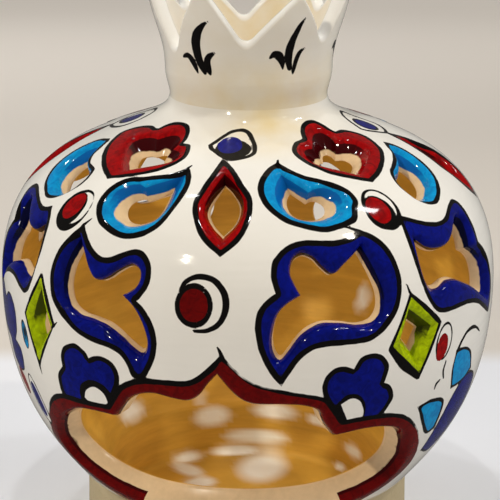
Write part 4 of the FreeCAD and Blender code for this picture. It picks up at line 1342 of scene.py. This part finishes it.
class LANTERN_OT_stage(bpy.types.Operator):
    """Builds the floor, the lamps and the camera"""

    bl_idname = "lantern.stage"
    bl_label = "Stage"

    def execute(self, context):
        scene = context.scene
        bpy.ops.object.select_all(action="DESELECT")
        bpy.ops.mesh.primitive_circle_add(vertices=96, radius=4.0, fill_type="NGON", location=(0, 0, 0))
        floor = context.object
        floor.name = "floor"
        colours = scene.lantern_colours
        material, tree, shader, place = new_material("matt_paper_floor")
        tooth = add(tree, "TexNoise", {"Vector": place, "Scale": per_mm(60), "Detail": 2.0})
        tint = add(tree, "Mix", {0: tooth, 6: rgba(colours.floor, 1.02), 7: rgba(colours.floor, 0.98)},
                   **BLEND)
        away = add(tree, "VectorMath", {0: place, 1: (-0.112, 0.994, 0.0)}, out="Value",
                   operation="DOT_PRODUCT")
        for start, end, tone in ((0.176, 0.206, colours.beyond), (0.65, 1.2, colours.distance)):
            share = add(tree, "MapRange", {"Value": away, "From Min": start, "From Max": end}, **SOFT)
            tint = add(tree, "Mix", {0: share, 6: tint, 7: rgba(tone)}, **BLEND)
        # a little paler to the camera alone, with no more light on the pot
        seen = add(tree, "LightPath", out="Is Camera Ray")
        span = add(tree, "VectorMath", {0: place}, out="Value", operation="LENGTH")
        far = add(tree, "MapRange", {"Value": span, "From Min": 1.3, "From Max": 2.8, "To Min": 0.19,
                                     "To Max": 0.62})
        paler = add(tree, "Math", {0: seen, 1: far}, operation="MULTIPLY")
        fill(tree, shader, {"Base Color": tint, "Roughness": 0.6, "Emission Color": tint,
                            "Emission Strength": paler})
        floor.data.materials.append(material)
        floor.visible_glossy = False        # the floor of the photo hardly shows in the glaze

        world = scene.world or bpy.data.worlds.new("room")
        scene.world = world
        world.use_nodes = True
        sky = world.node_tree.nodes["Background"]
        seen = add(world.node_tree, "LightPath", out="Is Camera Ray")
        bright = add(world.node_tree, "Math", {0: seen, 1: 0.45, 2: 0.16}, operation="MULTIPLY_ADD")
        fill(world.node_tree, sky, {"Color": rgba(linear("#f1ece4")), "Strength": bright})

        # soft boxes at the sides, and small lamps above where their glints show on the glaze:
        # (name, place, width, height, power, colour)
        middle = Vector((0, 0, 0.11))
        warm, plain = (1.0, 0.91, 0.77), (0.97, 0.985, 1.0)
        lamps = (("left_box", (-1.5, 0.25, 0.7), 0.7, 0.7, 7.5, plain),
                 ("right_box", (1.5, 0.25, 0.75), 0.7, 0.7, 9.0, plain),
                 ("key", (-0.44, -0.94, 0.87), 0.045, 0.045, 6.2, warm),
                 ("window", (0.8, 0.26, 1.26), 0.1, 0.17, 2.5, plain),
                 ("spot_left", (-0.32, 0.18, 1.28), 0.045, 0.045, 1.5, plain),
                 ("spot_above", (-0.03, -0.24, 1.34), 0.045, 0.045, 2.4, plain),
                 ("spot_right", (0.79, -0.27, 1.06), 0.045, 0.045, 3.5, warm),
                 ("spot_back", (-0.48, 0.94, 0.72), 0.06, 0.06, 2.5, plain))
        for name, at, wide, high, power, tone in lamps:
            lamp = bpy.data.lights.new(name, "AREA")
            lamp.shape = "RECTANGLE"
            lamp.size, lamp.size_y = wide, high
            lamp.energy = power
            lamp.color = tone
            holder = bpy.data.objects.new(name, lamp)
            holder.location = at
            holder.rotation_euler = (middle - Vector(at)).to_track_quat("-Z", "Y").to_euler()
            holder.visible_glossy = name not in ("left_box", "right_box", "spot_back")
            scene.collection.objects.link(holder)

        # a weak lamp inside the pot, without which its inside is darker than in the photo
        glow = bpy.data.lights.new("inner_fill", "POINT")
        glow.energy = 0.088
        glow.shadow_soft_size = 0.03
        holder = bpy.data.objects.new("inner_fill", glow)
        holder.location = (0, -0.01, 0.075)
        holder.visible_glossy = False
        scene.collection.objects.link(holder)

        self.camera(scene)
        scene.view_settings.view_transform = "Standard"
        return {"FINISHED"}

    def camera(self, scene):
        """Camera where the photographer stood, its aim turned a little up and aside to match the framing."""
        away, up, round_by = 0.7022, radians(17.26), radians(6.41)
        pitch, roll, aside = 0.0112, 0.0041, 0.00114
        middle = Vector((0, 0, MID_Z * MM))
        from_middle = Vector((sin(round_by) * cos(up), -cos(round_by) * cos(up), sin(up)))
        ahead = -from_middle
        right = ahead.cross(Vector((0, 0, 1))).normalized()
        above = right.cross(ahead)
        ahead, above = ahead * cos(pitch) + above * sin(pitch), above * cos(pitch) - ahead * sin(pitch)
        ahead, right = ahead * cos(aside) + right * sin(aside), right * cos(aside) - ahead * sin(aside)
        right, above = right * cos(roll) + above * sin(roll), above * cos(roll) - right * sin(roll)
        data = bpy.data.cameras.new("camera")
        data.sensor_width = 36.0
        data.lens = 129.6
        data.clip_start = 0.01
        view = bpy.data.objects.new("camera", data)
        place = Matrix((right, above, -ahead)).transposed().to_4x4()
        place.translation = middle + from_middle * away
        view.matrix_world = place
        scene.collection.objects.link(view)
        scene.camera = view


OPERATORS = (LANTERN_OT_globe, LANTERN_OT_crown, LANTERN_OT_foot, LANTERN_OT_tealight, LANTERN_OT_stage)


class LANTERN_PT_panel(bpy.types.Panel):
    """Sizes, colours and pieces of the lantern"""

    bl_label = "Lantern"
    bl_idname = "LANTERN_PT_panel"
    bl_space_type = "VIEW_3D"
    bl_region_type = "UI"
    bl_category = "Lantern"

    def draw(self, context):
        for group in (context.scene.lantern_sizes, context.scene.lantern_colours):
            for key in group.__annotations__:
                self.layout.prop(group, key)
        for kind in OPERATORS:
            self.layout.operator(kind.bl_idname)


CLASSES = (LanternSizes, LanternColours) + OPERATORS + (LANTERN_PT_panel,)


def register():
    for kind in CLASSES:
        bpy.utils.register_class(kind)
    bpy.types.Scene.lantern_sizes = bpy.props.PointerProperty(type=LanternSizes)
    bpy.types.Scene.lantern_colours = bpy.props.PointerProperty(type=LanternColours)


def unregister():
    del bpy.types.Scene.lantern_colours
    del bpy.types.Scene.lantern_sizes
    for kind in reversed(CLASSES):
        bpy.utils.unregister_class(kind)


def main():
    register()
    bpy.ops.lantern.globe()
    bpy.ops.lantern.crown()
    bpy.ops.lantern.foot()
    bpy.ops.lantern.tealight()
    bpy.ops.lantern.stage()
    bpy.context.view_layer.update()


if __name__ == "__main__":
    main()
